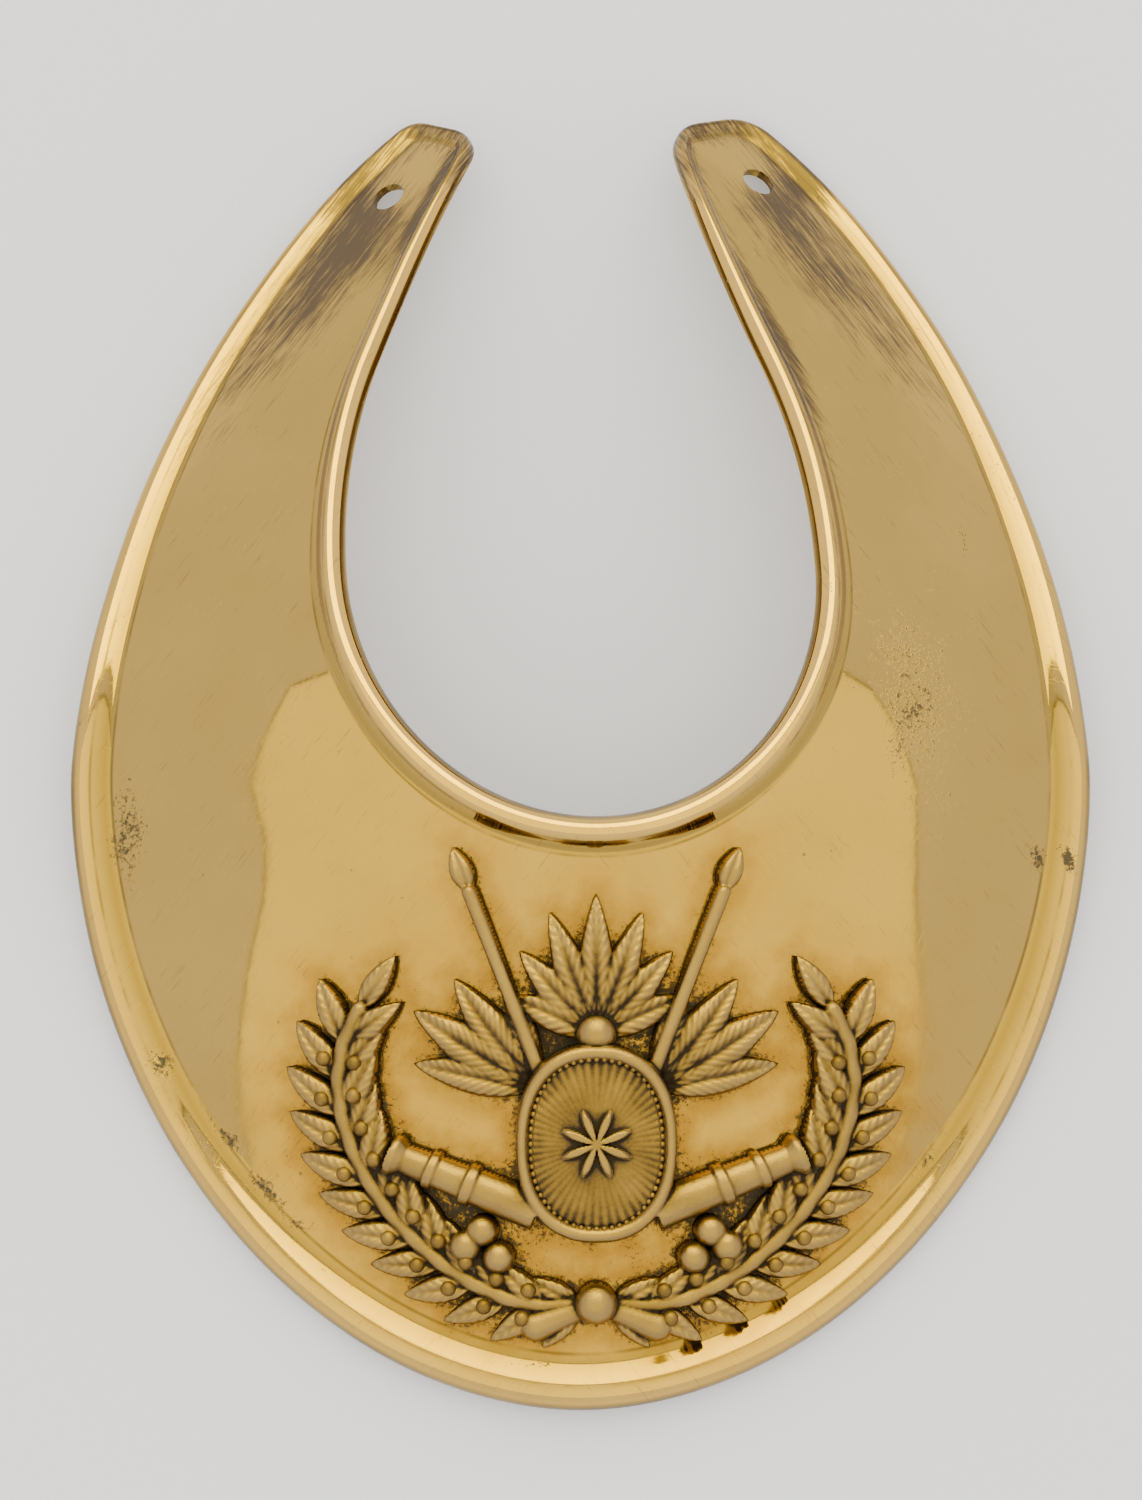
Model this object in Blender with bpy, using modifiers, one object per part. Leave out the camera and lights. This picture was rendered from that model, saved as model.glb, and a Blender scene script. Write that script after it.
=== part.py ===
"""An officer's gorget: a bowed crescent plate of gilt copper with rolled rims, which carries a cast badge.

The plate is shaped in its own plane: +X to the wearer's left, +Y up towards the horns and +Z out of the
chest. It is then laid on its back, so that it rests on the tips of its horns and on its lower edge.
Lengths are in metres and angles in degrees.
"""

import math

import bmesh
import bpy
import numpy as np
from mathutils import Matrix, Vector

# Outline of the plate, measured from the middle of its widest line
PLATE_WIDTH = 0.1076
LOWER_HEIGHT = 0.0656
UPPER_HEIGHT = 0.0791
LOWER_POWER = 1.93

# Neck opening, an ellipse below and an arc and a straight horn above
NECK_CENTRE_Y = 0.0230
NECK_HALF_WIDTH = 0.0249
NECK_DEPTH = 0.0262
NECK_ARC_RADIUS = 0.0561
HORN_LEAN = 23.1
NECK_SKEW = 0.062
NECK_SKEW_REACH = 0.0498

# Horns, which are not quite alike on a plate cut by eye
TIP_HEIGHT = 0.0438
TIP_CORNER = 0.0030
CORNER_FULLNESS = 0.9
HORNS = {
    # side: power of its outer curve, height of its tip in tip heights, outward slope of the tip in degrees,
    # outer and inner corner in tip corners
    -1: (1.63, 1.00, 13.0, 0.70, 1.00),
    1: (1.66, 1.04, 9.0, 1.03, 1.10),
}

# Bow of the plate round the chest, and the sweep of the horns round the neck
SHEET = 0.0009
BODY_BOW_RADIUS = 0.080
HORN_BOW_RADIUS = 0.027
HORN_SWEEP_RADIUS = 0.0927
LOWER_SWEEP_RADIUS = 0.500

# Rolled rims
OUTER_RIM_WIDTH = 0.0060
NECK_RIM_WIDTH = 0.0042
OUTER_RIM_RISE = 0.0018
NECK_RIM_RISE = 0.0016
RIM_TIP_SHARE = 0.46
RIM_CREST_SHARE = 0.36
EDGE_DROP = 0.0007
CORNER_FAN = 0.0016

# Ribbon holes near the tips of the horns
RIBBON_HOLE_DIAMETER = 0.0036
RIBBON_HOLES = (
    # name, side, length down the horn from its tip, share of the way from the neck to the outer edge
    ("left", -1, 0.0096, 0.56),
    ("right", 1, 0.0082, 0.595),
)

# Cast badge
BADGE_X = 0.0016
BADGE_Y = -0.0372
BADGE_HALF_WIDTH = 0.0265
BADGE_EDGE = 0.0010
SEAT_GAP = 0.00035
CARTOUCHE_HALF_WIDTH = 0.0082
CARTOUCHE_HALF_HEIGHT = 0.0104
CARTOUCHE_POWER = 2.3
CARTOUCHE_RISE = 0.0026
CARTOUCHE_BORDER = 0.0014
CARTOUCHE_CROWN = 0.0007
STAR_RISE = 0.0006
SPRAY_LEAF_LENGTH = 0.0078
SPRAY_LEAF_WIDTH = 0.0031
STEM_RADIUS = 0.0009
CREST_LEAF_LENGTH = 0.0145
CREST_LEAF_WIDTH = 0.0036
STAFF_RADIUS = 0.0008
SPEAR_LENGTH = 0.0050
SPEAR_WIDTH = 0.0024
KNOT_RADIUS = 0.0022
CREST_BOSS_RADIUS = 0.0021
BARREL_RADIUS = 0.0019
BALL_RADIUS = 0.0017
FROND_LENGTH = 0.0150
FROND_WIDTH = 0.0046

# Pins that hold the badge, peened over at the back
PIN_DIAMETER = 0.0016
PIN_HEAD_DIAMETER = 0.0036
PIN_HEAD_THICKNESS = 0.0008
PIN_CLEARANCE = 0.0003
PIN_DEPTH_IN_BADGE = 0.0009
PIN_RISE_SHARE = 0.67

# Fineness of the meshes
ALONG_STEPS = 66
ACROSS_STEPS = 5
TIP_POINTS = ACROSS_STEPS - 1
BADGE_STEP = 0.00042
BADGE_TOP_FACES = 1800
LEAST_OPENING_CELLS = 5

# Share of the rim's width at which each row of the plate's mesh lies
RIM_ROWS = (0.0, 0.07, 0.20, 0.38, 0.62, 0.82, 1.0)


def clear_scene():
    """Removes what a new file starts with."""
    for item in list(bpy.data.objects):
        bpy.data.objects.remove(item, do_unlink=True)


def new_collection(name):
    collection = bpy.data.collections.new(name)
    bpy.context.scene.collection.children.link(collection)
    return collection


def metal(name, colour, roughness):
    material = bpy.data.materials.new(name)
    material.use_nodes = True
    shader = material.node_tree.nodes["Principled BSDF"]
    shader.inputs["Base Color"].default_value = (*colour, 1.0)
    shader.inputs["Metallic"].default_value = 1.0
    shader.inputs["Roughness"].default_value = roughness
    return material


# Form of the plate


def smooth_share(value):
    """0 to 1, with no slope at either end."""
    share = np.clip(value, 0.0, 1.0)
    return share * share * (3.0 - 2.0 * share)


def horn_height():
    return NECK_CENTRE_Y + TIP_HEIGHT


def dome(x, y):
    """Height of the sheet's face, bowed about the long axis and swept back at the horns."""
    rise = np.clip(y / horn_height(), 0.0, 2.0)
    tightening = 1.0 / HORN_BOW_RADIUS - 1.0 / BODY_BOW_RADIUS
    curvature = 1.0 / BODY_BOW_RADIUS + tightening * rise**1.5
    bow = curvature * x * x / 2.0
    up = np.clip(y, 0.0, 0.99 * HORN_SWEEP_RADIUS)
    sweep = HORN_SWEEP_RADIUS - np.sqrt(HORN_SWEEP_RADIUS**2 - up * up)
    down = np.clip(-y, 0.0, None)
    return -(bow + sweep + down * down / (2.0 * LOWER_SWEEP_RADIUS))


def dome_slopes(x, y):
    """Slope of the dome along X and along Y, by central differences."""
    step = 1e-5
    along_x = (dome(x + step, y) - dome(x - step, y)) / (2.0 * step)
    along_y = (dome(x, y + step) - dome(x, y - step)) / (2.0 * step)
    return along_x, along_y


def lifted(x, y, lift):
    """Points at a height above the dome, measured square to it."""
    slope_x, slope_y = dome_slopes(x, y)
    size = np.sqrt(1.0 + slope_x**2 + slope_y**2)
    return np.column_stack(
        [x - lift * slope_x / size, y - lift * slope_y / size, dome(x, y) + lift / size]
    )


def unit_normal(x, y):
    slope_x, slope_y = dome_slopes(x, y)
    return Vector((-slope_x, -slope_y, 1.0)).normalized()


# Outline of the plate


def length_along(points):
    steps = np.linalg.norm(np.diff(points, axis=0), axis=1)
    return np.concatenate([[0.0], np.cumsum(steps)])


def at_shares(points, shares):
    """Points at the given shares of a line's length."""
    length = length_along(points)
    places = np.asarray(shares) * length[-1]
    return np.column_stack([np.interp(places, length, points[:, k]) for k in range(2)])


def power_arc(side, height, power, start, end):
    """A quarter of a superellipse of the plate's half width."""
    angle = np.linspace(math.radians(start), math.radians(end), 400)
    across = side * PLATE_WIDTH / 2.0 * np.abs(np.cos(angle)) ** (2.0 / power)
    up = height * np.sign(angle) * np.abs(np.sin(angle)) ** (2.0 / power)
    return np.column_stack([across, up])


def outer_line(side):
    lower = power_arc(side, LOWER_HEIGHT, LOWER_POWER, -90.0, 0.0)
    upper = power_arc(side, UPPER_HEIGHT, HORNS[side][0], 0.0, 90.0)
    return np.vstack([lower, upper[1:]])


def from_neck(points):
    """From the neck's own axes to the plate's: its upright axis leans, and straightens near the tips."""
    x, y = points[:, 0], points[:, 1]
    lean = NECK_SKEW * y * (1.0 - np.clip(y / NECK_SKEW_REACH, 0.0, None) ** 3)
    return np.column_stack([x - lean, y + NECK_CENTRE_Y])


def neck_line(side):
    """Half of the neck opening, from its lowest point up past the tip."""
    angle = np.linspace(-math.pi / 2.0, 0.0, 300)
    below = np.column_stack([NECK_HALF_WIDTH * np.cos(angle), NECK_DEPTH * np.sin(angle)])
    lean = math.radians(HORN_LEAN)
    bend = np.linspace(0.0, lean, 200)
    arc = np.column_stack(
        [NECK_HALF_WIDTH - NECK_ARC_RADIUS * (1.0 - np.cos(bend)), NECK_ARC_RADIUS * np.sin(bend)]
    )
    reach = np.linspace(0.0, 1.5 * TIP_HEIGHT, 300)[:, None]
    straight = arc[-1] + reach * np.array([-math.sin(lean), math.cos(lean)])
    line = np.vstack([below, arc[1:], straight[1:]])
    return from_neck(line * np.array([side, 1.0]))


def cut_at_tip(points, side):
    """The part of a line below the edge that ends the horn."""
    _, height, slope, _, _ = HORNS[side]
    edge_y = NECK_CENTRE_Y + height * TIP_HEIGHT
    over = points[:, 1] - edge_y - side * math.tan(math.radians(slope)) * points[:, 0]
    first = int(np.argmax(over > 0.0))
    share = -over[first - 1] / (over[first] - over[first - 1])
    end = points[first - 1] + share * (points[first] - points[first - 1])
    return np.vstack([points[:first], end])


def shortened(points, length):
    whole = length_along(points)[-1]
    return at_shares(points, np.linspace(0.0, 1.0 - length / whole, 800))


def corner(start, apex, end):
    """A rounded corner, as a quadratic curve."""
    share = np.linspace(0.0, 1.0, 41)[:, None]
    return (1 - share) ** 2 * start + 2 * share * (1 - share) * apex + share**2 * end


def half_outline(side):
    """Outer line, tip and neck line of one side, cut at the middles of the tip's two corners."""
    outer = cut_at_tip(outer_line(side), side)
    neck = cut_at_tip(neck_line(side), side)
    across = (neck[-1] - outer[-1]) / np.linalg.norm(neck[-1] - outer[-1])
    outer_apex, neck_apex = outer[-1], neck[-1]
    outer_size, neck_size = (share * TIP_CORNER for share in HORNS[side][3:])
    outer = shortened(outer, outer_size)
    neck = shortened(neck, neck_size)
    outer_corner = corner(outer[-1], outer_apex, outer_apex + across * outer_size * CORNER_FULLNESS)
    neck_corner = corner(neck[-1], neck_apex, neck_apex - across * neck_size * CORNER_FULLNESS)
    middle = len(outer_corner) // 2
    outer = np.vstack([outer, outer_corner[1 : middle + 1]])
    neck = np.vstack([neck, neck_corner[1 : middle + 1]])
    tip = np.vstack([outer_corner[middle:], neck_corner[::-1][:middle + 1]])
    return outer, tip, neck


def graded(count):
    """Shares from 0 to 1, closer together at the ends."""
    even = np.linspace(0.0, 1.0, count + 1)
    return 0.45 * even + 0.55 * (0.5 - 0.5 * np.cos(math.pi * even))


def plate_outline(along=ALONG_STEPS, tip_points=TIP_POINTS):
    """The closed outline, anticlockwise from the left tip: points, and the rim's width and rise at each."""
    left, right = half_outline(-1), half_outline(1)
    outer = np.vstack([left[0][::-1], right[0][1:]])
    neck = np.vstack([left[2][::-1], right[2][1:]])
    tip_shares = np.linspace(0.0, 1.0, tip_points + 2)[1:-1]
    shares = graded(along)
    lines = [
        at_shares(outer, shares),
        at_shares(right[1], tip_shares),
        at_shares(neck, shares)[::-1],
        at_shares(left[1], tip_shares)[::-1],
    ]
    fullness = np.sin(math.pi * shares) ** 0.8
    widths = RIM_TIP_SHARE + (1.0 - RIM_TIP_SHARE) * fullness
    tip_width = RIM_TIP_SHARE * (OUTER_RIM_WIDTH + NECK_RIM_WIDTH) / 2.0
    tip_rise = (OUTER_RIM_RISE + NECK_RIM_RISE) / 2.0
    at_tip = np.ones(tip_points)
    rises = 0.6 + 0.4 * fullness
    rim_width = np.concatenate(
        [OUTER_RIM_WIDTH * widths, tip_width * at_tip, NECK_RIM_WIDTH * widths, tip_width * at_tip]
    )
    rim_rise = np.concatenate(
        [OUTER_RIM_RISE * rises, 0.6 * tip_rise * at_tip, NECK_RIM_RISE * rises, 0.6 * tip_rise * at_tip]
    )
    return np.vstack(lines), rim_width, rim_rise


def inward_normals(points):
    """Directions into the plate, evened out along the edge so that the rim fans round each corner."""
    ahead = np.roll(points, -1, axis=0) - np.roll(points, 1, axis=0)
    step = np.linalg.norm(ahead, axis=1)
    ahead /= step[:, None]
    place = length_along(np.vstack([points, points[:1]]))
    away = np.abs(place[:-1, None] - place[None, :-1])
    away = np.minimum(away, place[-1] - away)
    weight = np.exp(-0.5 * (away / CORNER_FAN) ** 2) * step[None, :]
    inward = weight @ np.column_stack([-ahead[:, 1], ahead[:, 0]])
    return inward / np.linalg.norm(inward, axis=1)[:, None]


def rim_lift(share, rise):
    """Height of the rolled rim at a share of its width: a quarter round, a crest and a cove."""
    if share < RIM_CREST_SHARE:
        short = 1.0 - share / RIM_CREST_SHARE
        return rise - (rise + EDGE_DROP) * (1.0 - math.sqrt(1.0 - short * short))
    fall = (share - RIM_CREST_SHARE) / (1.0 - RIM_CREST_SHARE)
    return rise * (0.5 + 0.5 * math.cos(math.pi * fall))


def rim_rings(outline, rim_width, rim_rise):
    """Rows of points from the edge to the field, each a fixed share of the rim's width in."""
    inward = inward_normals(outline)
    slope_x, slope_y = dome_slopes(outline[:, 0], outline[:, 1])
    steepness = slope_x * inward[:, 0] + slope_y * inward[:, 1]
    shortening = 1.0 / np.sqrt(1.0 + steepness**2)
    rings = []
    for share in RIM_ROWS:
        places = outline + inward * (share * rim_width * shortening)[:, None]
        rings.append(lifted(places[:, 0], places[:, 1], rim_lift(share, rim_rise)))
    return rings, places


def plate_mesh():
    """The sheet's front face as one open surface: rings for the rim, then rows across the field."""
    outline, rim_width, rim_rise = plate_outline()
    rings, inner = rim_rings(outline, rim_width, rim_rise)
    mesh = bmesh.new()
    ring_verts = [[mesh.verts.new(point) for point in ring] for ring in rings]
    count = len(outline)
    for outside, inside in zip(ring_verts[:-1], ring_verts[1:]):
        for k in range(count):
            after = (k + 1) % count
            mesh.faces.new((outside[k], outside[after], inside[after], inside[k]))
    edge = ring_verts[-1]
    right_tip = edge[ALONG_STEPS + 1 : ALONG_STEPS + 1 + TIP_POINTS]
    left_tip = edge[count - TIP_POINTS :]
    neck_start = ALONG_STEPS + 1 + TIP_POINTS
    rows = []
    for k in range(ALONG_STEPS + 1):
        first, last = k, neck_start + ALONG_STEPS - k
        if k == 0:
            between = left_tip[::-1]
        elif k == ALONG_STEPS:
            between = right_tip
        else:
            shares = np.linspace(0.0, 1.0, ACROSS_STEPS + 1)[1:-1, None]
            places = inner[first] + shares * (inner[last] - inner[first])
            points = lifted(places[:, 0], places[:, 1], 0.0)
            between = [mesh.verts.new(point) for point in points]
        rows.append([edge[first], *between, edge[last]])
    for row, after in zip(rows[:-1], rows[1:]):
        for k in range(ACROSS_STEPS):
            mesh.faces.new((row[k], after[k], after[k + 1], row[k + 1]))
    data = bpy.data.meshes.new("gorget_plate")
    mesh.to_mesh(data)
    mesh.free()
    return data


# Relief of the badge, in its own plane with the cartouche's middle as the origin


def segment_share(x, y, start, end):
    """Share along a segment and distance from it, for each point."""
    along = (end[0] - start[0], end[1] - start[1])
    square = along[0] ** 2 + along[1] ** 2
    share = np.clip(((x - start[0]) * along[0] + (y - start[1]) * along[1]) / square, 0.0, 1.0)
    return share, np.hypot(x - start[0] - share * along[0], y - start[1] - share * along[1])


def bar(x, y, start, end, start_radius, end_radius, base):
    """A round bar that tapers, half sunk in the casting: cover, which is below 0 inside, and height."""
    share, away = segment_share(x, y, start, end)
    radius = start_radius + share * (end_radius - start_radius)
    round_part = np.sqrt(np.clip(1.0 - (away / radius) ** 2, 0.0, 1.0))
    return away - radius, base + radius * round_part


def leaf(x, y, root, angle, length, width, base):
    """A pointed leaf, crowned, with a groove for its midrib."""
    turn = math.radians(angle)
    along = (x - root[0]) * math.cos(turn) + (y - root[1]) * math.sin(turn)
    across = np.abs((y - root[1]) * math.cos(turn) - (x - root[0]) * math.sin(turn))
    share = np.clip(along / length, 0.0, 1.0)
    half = width / 2.0 * np.sin(math.pi * share**0.85) ** 0.8
    outside = np.maximum(-along, along - length)
    cover = np.maximum(across - half, outside)
    side = np.clip(across / np.maximum(half, 1e-6), 0.0, 1.0)
    crown = np.sqrt(np.clip(1.0 - side * side, 0.0, 1.0)) * np.sin(math.pi * np.clip(share, 0.05, 0.95))
    groove = np.exp(-((across / (0.12 * width)) ** 2))
    return cover, base + 0.30 * width * crown - 0.10 * width * groove


def ball(x, y, centre, radius, base):
    away = np.hypot(x - centre[0], y - centre[1])
    return away - radius, base + radius * np.sqrt(np.clip(1.0 - (away / radius) ** 2, 0.0, 1.0))


def cartouche(x, y):
    """The oval shield: a rolled border round a crowned field with a raised star."""
    radius = (
        np.abs(x / CARTOUCHE_HALF_WIDTH) ** CARTOUCHE_POWER
        + np.abs(y / CARTOUCHE_HALF_HEIGHT) ** CARTOUCHE_POWER
    ) ** (1.0 / CARTOUCHE_POWER)
    inside = (1.0 - radius) * CARTOUCHE_HALF_WIDTH
    crown = CARTOUCHE_RISE + CARTOUCHE_CROWN * np.clip(1.0 - radius**2, 0.0, 1.0)
    across = np.clip(inside / CARTOUCHE_BORDER, 0.0, 1.0)
    border = CARTOUCHE_RISE - 0.2 * CARTOUCHE_BORDER + 0.9 * CARTOUCHE_BORDER * np.sqrt(
        np.clip(1.0 - (2.0 * across - 1.0) ** 2, 0.0, 1.0)
    )
    height = np.where(across < 1.0, border, crown)
    angle = np.arctan2(y, x)
    reach = 0.46 * CARTOUCHE_HALF_WIDTH * (0.62 + 0.38 * np.cos(8.0 * angle + math.pi))
    star = np.hypot(x, y) - reach
    return -inside, height + np.where(star < 0.0, STAR_RISE, 0.0)


# Places on the badge, as shares of its half width from the cartouche's middle
BREECH = (0.226, -0.272)
MUZZLE = (0.800, -0.045)
STAFF_FOOT = (0.110, 0.000)
STAFF_HEAD = (0.490, 0.985)
FROND_ROOT = (0.235, 0.215)
BALLS = ((0.377, -0.453), (0.506, -0.408), (0.442, -0.347))
KNOT = (0.0, -0.634)
LOOP_START = (0.045, -0.650)
LOOP_END = (0.234, -0.725)

# Stem of each side spray, in the same shares, and the size of the leaf there
SPRAY = (
    # along X, along Y, leaf size
    (0.06, -0.64, 0.78),
    (0.34, -0.62, 0.90),
    (0.61, -0.47, 1.00),
    (0.82, -0.25, 1.00),
    (0.96, 0.01, 1.00),
    (1.00, 0.28, 0.96),
    (0.92, 0.52, 0.85),
)
SPRAY_PAIRS = 12

# Outline of a gun's barrel
BARREL = (
    # share of the length, share of the radius
    (0.00, 1.15),
    (0.42, 1.05),
    (0.43, 1.22),
    (0.49, 1.22),
    (0.50, 1.00),
    (0.68, 0.94),
    (0.69, 1.10),
    (0.74, 1.10),
    (0.75, 0.90),
    (0.90, 0.85),
    (0.96, 1.20),
    (1.00, 1.15),
)

# Fronds beside each spear: angle from upright, and length as a share of the longest
FRONDS = ((14.0, 0.74), (37.0, 0.94), (58.0, 1.00), (79.0, 0.86))

# Crest leaves: angle from upright, and length as a share of the middle leaf's
CREST_LEAVES = ((0.0, 1.0), (21.0, 0.93), (43.0, 0.80), (66.0, 0.64))


def placed(shares):
    return tuple(share * BADGE_HALF_WIDTH for share in shares)


def between(start, end, share):
    return tuple(a + share * (b - a) for a, b in zip(start, end))


def spray_points(count):
    """Evenly spaced places on a spray's stem, with its direction and the leaf's size."""
    rows = np.array(SPRAY)
    share = np.linspace(0.0, 1.0, len(rows))
    fine = np.linspace(0.0, 1.0, 25 * len(rows))
    fit = [np.polynomial.Polynomial.fit(share, rows[:, k], 4) for k in range(3)]
    line = np.column_stack([fit[0](fine), fit[1](fine)]) * BADGE_HALF_WIDTH
    length = length_along(line)
    places = np.interp(np.linspace(0.0, length[-1], count), length, fine)
    x, y = fit[0](places) * BADGE_HALF_WIDTH, fit[1](places) * BADGE_HALF_WIDTH
    heading = np.degrees(np.arctan2(fit[1].deriv()(places), fit[0].deriv()(places)))
    return list(zip(x, y, heading, fit[2](places)))


def spray(x, y):
    """One branch: a stem, leaves in pairs and a leaf at its end."""
    parts = []
    points = spray_points(SPRAY_PAIRS + 1)
    for (x0, y0, _, _), (x1, y1, _, _) in zip(points[:-1], points[1:]):
        parts.append(bar(x, y, (x0, y0), (x1, y1), STEM_RADIUS, STEM_RADIUS, BADGE_EDGE))
    for k, (px, py, heading, size) in enumerate(points):
        length, width = SPRAY_LEAF_LENGTH * size, SPRAY_LEAF_WIDTH * size
        layer = BADGE_EDGE * (1.0 + 0.2 * (k % 2))
        if k == len(points) - 1:
            parts.append(leaf(x, y, (px, py), heading, length, width, layer))
            continue
        for spread in (38.0, -38.0):
            parts.append(leaf(x, y, (px, py), heading + spread, length, width, layer))
    return parts


def crest(x, y):
    """A palmette over the cartouche, on a small boss."""
    root = (0.0, CARTOUCHE_HALF_HEIGHT + BADGE_EDGE)
    parts = []
    for angle, share in CREST_LEAVES:
        length = CREST_LEAF_LENGTH * share
        for side in (1.0, -1.0):
            layer = BADGE_EDGE * (1.0 + 0.6 * share)
            parts.append(leaf(x, y, root, 90.0 - side * angle, length, CREST_LEAF_WIDTH, layer))
    parts.append(ball(x, y, root, CREST_BOSS_RADIUS, 1.4 * BADGE_EDGE))
    return parts


def gun(x, y):
    """A barrel turned from a profile: it tapers between its bands and swells at the muzzle."""
    breech, muzzle = placed(BREECH), placed(MUZZLE)
    along = (muzzle[0] - breech[0], muzzle[1] - breech[1])
    length = math.hypot(*along)
    share = ((x - breech[0]) * along[0] + (y - breech[1]) * along[1]) / length**2
    away = np.abs((x - breech[0]) * along[1] - (y - breech[1]) * along[0]) / length
    radius = BARREL_RADIUS * np.interp(share, *zip(*BARREL))
    beyond = np.maximum(-share, share - 1.0) * length
    round_part = np.sqrt(np.clip(1.0 - (away / radius) ** 2, 0.0, 1.0))
    return [(np.maximum(away - radius, beyond), BADGE_EDGE + radius * round_part)]


def fronds(x, y):
    """Broad leaves that fan out from behind the cartouche."""
    parts = []
    for angle, share in FRONDS:
        length, width = FROND_LENGTH * share, FROND_WIDTH * share
        parts.append(leaf(x, y, placed(FROND_ROOT), 90.0 - angle, length, width, BADGE_EDGE))
    return parts


def trophy(x, y):
    """On each side a spear, a fan of fronds, a gun and a heap of balls."""
    foot, head = placed(STAFF_FOOT), placed(STAFF_HEAD)
    angle = math.degrees(math.atan2(head[1] - foot[1], head[0] - foot[0]))
    layer = 1.5 * BADGE_EDGE
    parts = [
        bar(x, y, foot, head, STAFF_RADIUS, STAFF_RADIUS, layer),
        leaf(x, y, head, angle, SPEAR_LENGTH, SPEAR_WIDTH, layer),
    ]
    parts += [ball(x, y, placed(centre), BALL_RADIUS, 1.2 * BADGE_EDGE) for centre in BALLS]
    return parts + fronds(x, y) + gun(x, y)


def knot(x, y):
    """The ribbon's knot where the two sprays cross, with a loop to each side."""
    return [
        ball(x, y, placed(KNOT), KNOT_RADIUS, 1.6 * BADGE_EDGE),
        bar(x, y, placed(LOOP_START), placed(LOOP_END), 0.5 * KNOT_RADIUS, 0.75 * KNOT_RADIUS, BADGE_EDGE),
    ]


def relief(x, y):
    """Cover of the whole badge, below 0 inside it, and the height of its face."""
    mirrored = np.abs(x)
    parts = spray(mirrored, y) + trophy(mirrored, y) + crest(mirrored, y) + knot(mirrored, y)
    parts.append(cartouche(x, y))
    covers = np.array([part[0] for part in parts])
    heights = np.array([part[1] for part in parts])
    cover = covers.min(axis=0)
    over = np.where(covers < 0.0, heights, -1.0).max(axis=0)
    nearest = np.take_along_axis(heights, covers.argmin(axis=0)[None], axis=0)[0]
    return cover, np.where(over > 0.0, over, nearest)


# Meshes of the badge


def reached(mask, seed):
    """The part of a mask that joins the seed's cell by cell sides."""
    found = np.zeros_like(mask)
    found[seed] = True
    while True:
        spread = found.copy()
        spread[1:] |= found[:-1]
        spread[:-1] |= found[1:]
        spread[:, 1:] |= found[:, :-1]
        spread[:, :-1] |= found[:, 1:]
        spread &= mask
        if (spread == found).all():
            return found
        found = spread


def without_pinches(mask):
    """Fills cells until no two kept cells meet at a corner alone."""
    while True:
        corners = mask[:-1, :-1], mask[1:, 1:], mask[1:, :-1], mask[:-1, 1:]
        falling = corners[0] & corners[1] & ~corners[2] & ~corners[3]
        rising = corners[2] & corners[3] & ~corners[0] & ~corners[1]
        if not (falling.any() or rising.any()):
            return mask
        mask = mask.copy()
        mask[1:, :-1] |= falling
        mask[:-1, :-1] |= rising


def kept_cells(mask, middle):
    """One island of cells, with openings too small to cast filled in."""
    mask = reached(without_pinches(mask), middle)
    holes = ~mask & ~reached(~mask, (0, 0))
    while holes.any():
        seed = tuple(np.argwhere(holes)[0])
        hole = reached(holes, seed)
        if hole.sum() < LEAST_OPENING_CELLS:
            mask |= hole
        holes &= ~hole
    return without_pinches(mask)


def snapped(points):
    """Moves points along the slope of the cover towards the badge's edge, by part of a step at most."""
    small = 0.05 * BADGE_STEP
    x, y = points[:, 0], points[:, 1]
    cover = relief(x, y)[0]
    slope_x = (relief(x + small, y)[0] - relief(x - small, y)[0]) / (2.0 * small)
    slope_y = (relief(x, y + small)[0] - relief(x, y - small)[0]) / (2.0 * small)
    steep = np.maximum(slope_x**2 + slope_y**2, 0.25)
    move = -cover / steep
    size = np.abs(move) * np.sqrt(slope_x**2 + slope_y**2)
    move *= np.minimum(1.0, 0.4 * BADGE_STEP / np.maximum(size, 1e-9))
    return np.column_stack([x + move * slope_x, y + move * slope_y])


def badge_reach():
    """Half the side of a square that holds the whole badge."""
    crest_top = CARTOUCHE_HALF_HEIGHT + CREST_LEAF_LENGTH
    spear_top = STAFF_HEAD[1] * BADGE_HALF_WIDTH + SPEAR_LENGTH
    return 5.0 * BADGE_STEP + max(BADGE_HALF_WIDTH + SPRAY_LEAF_LENGTH, crest_top, spear_top)


def badge_face():
    """The face of the badge on its own flat plane, as an open surface."""
    reach = badge_reach()
    columns = round(2.0 * reach / BADGE_STEP)
    mesh = bmesh.new()
    scale = Matrix.Diagonal((reach, reach, 1.0, 1.0))
    bmesh.ops.create_grid(mesh, x_segments=columns, y_segments=columns, size=1.0, matrix=scale)
    mesh.faces.ensure_lookup_table()
    middles = np.array([face.calc_center_median()[:2] for face in mesh.faces])
    cells = np.rint((middles + reach) / (2.0 * reach) * columns - 0.5).astype(int)
    mask = np.zeros((columns, columns), dtype=bool)
    mask[cells[:, 0], cells[:, 1]] = relief(middles[:, 0], middles[:, 1])[0] < 0.0
    mask = kept_cells(mask, (columns // 2, columns // 2))
    dropped = [face for face, cell in zip(mesh.faces, cells) if not mask[tuple(cell)]]
    bmesh.ops.delete(mesh, geom=dropped, context="FACES")
    border = [vert for vert in mesh.verts if vert.is_boundary]
    for vert, place in zip(border, snapped(np.array([vert.co[:2] for vert in border]))):
        vert.co = (*place, 0.0)
    places = np.array([vert.co[:2] for vert in mesh.verts])
    heights = relief(places[:, 0], places[:, 1])[1]
    for vert, height in zip(mesh.verts, heights):
        vert.co.z = max(height, BADGE_EDGE)
    bmesh.ops.smooth_vert(
        mesh, verts=mesh.verts[:], factor=0.5, use_axis_x=False, use_axis_y=False, use_axis_z=True
    )
    data = bpy.data.meshes.new("badge")
    mesh.to_mesh(data)
    mesh.free()
    return data


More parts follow.
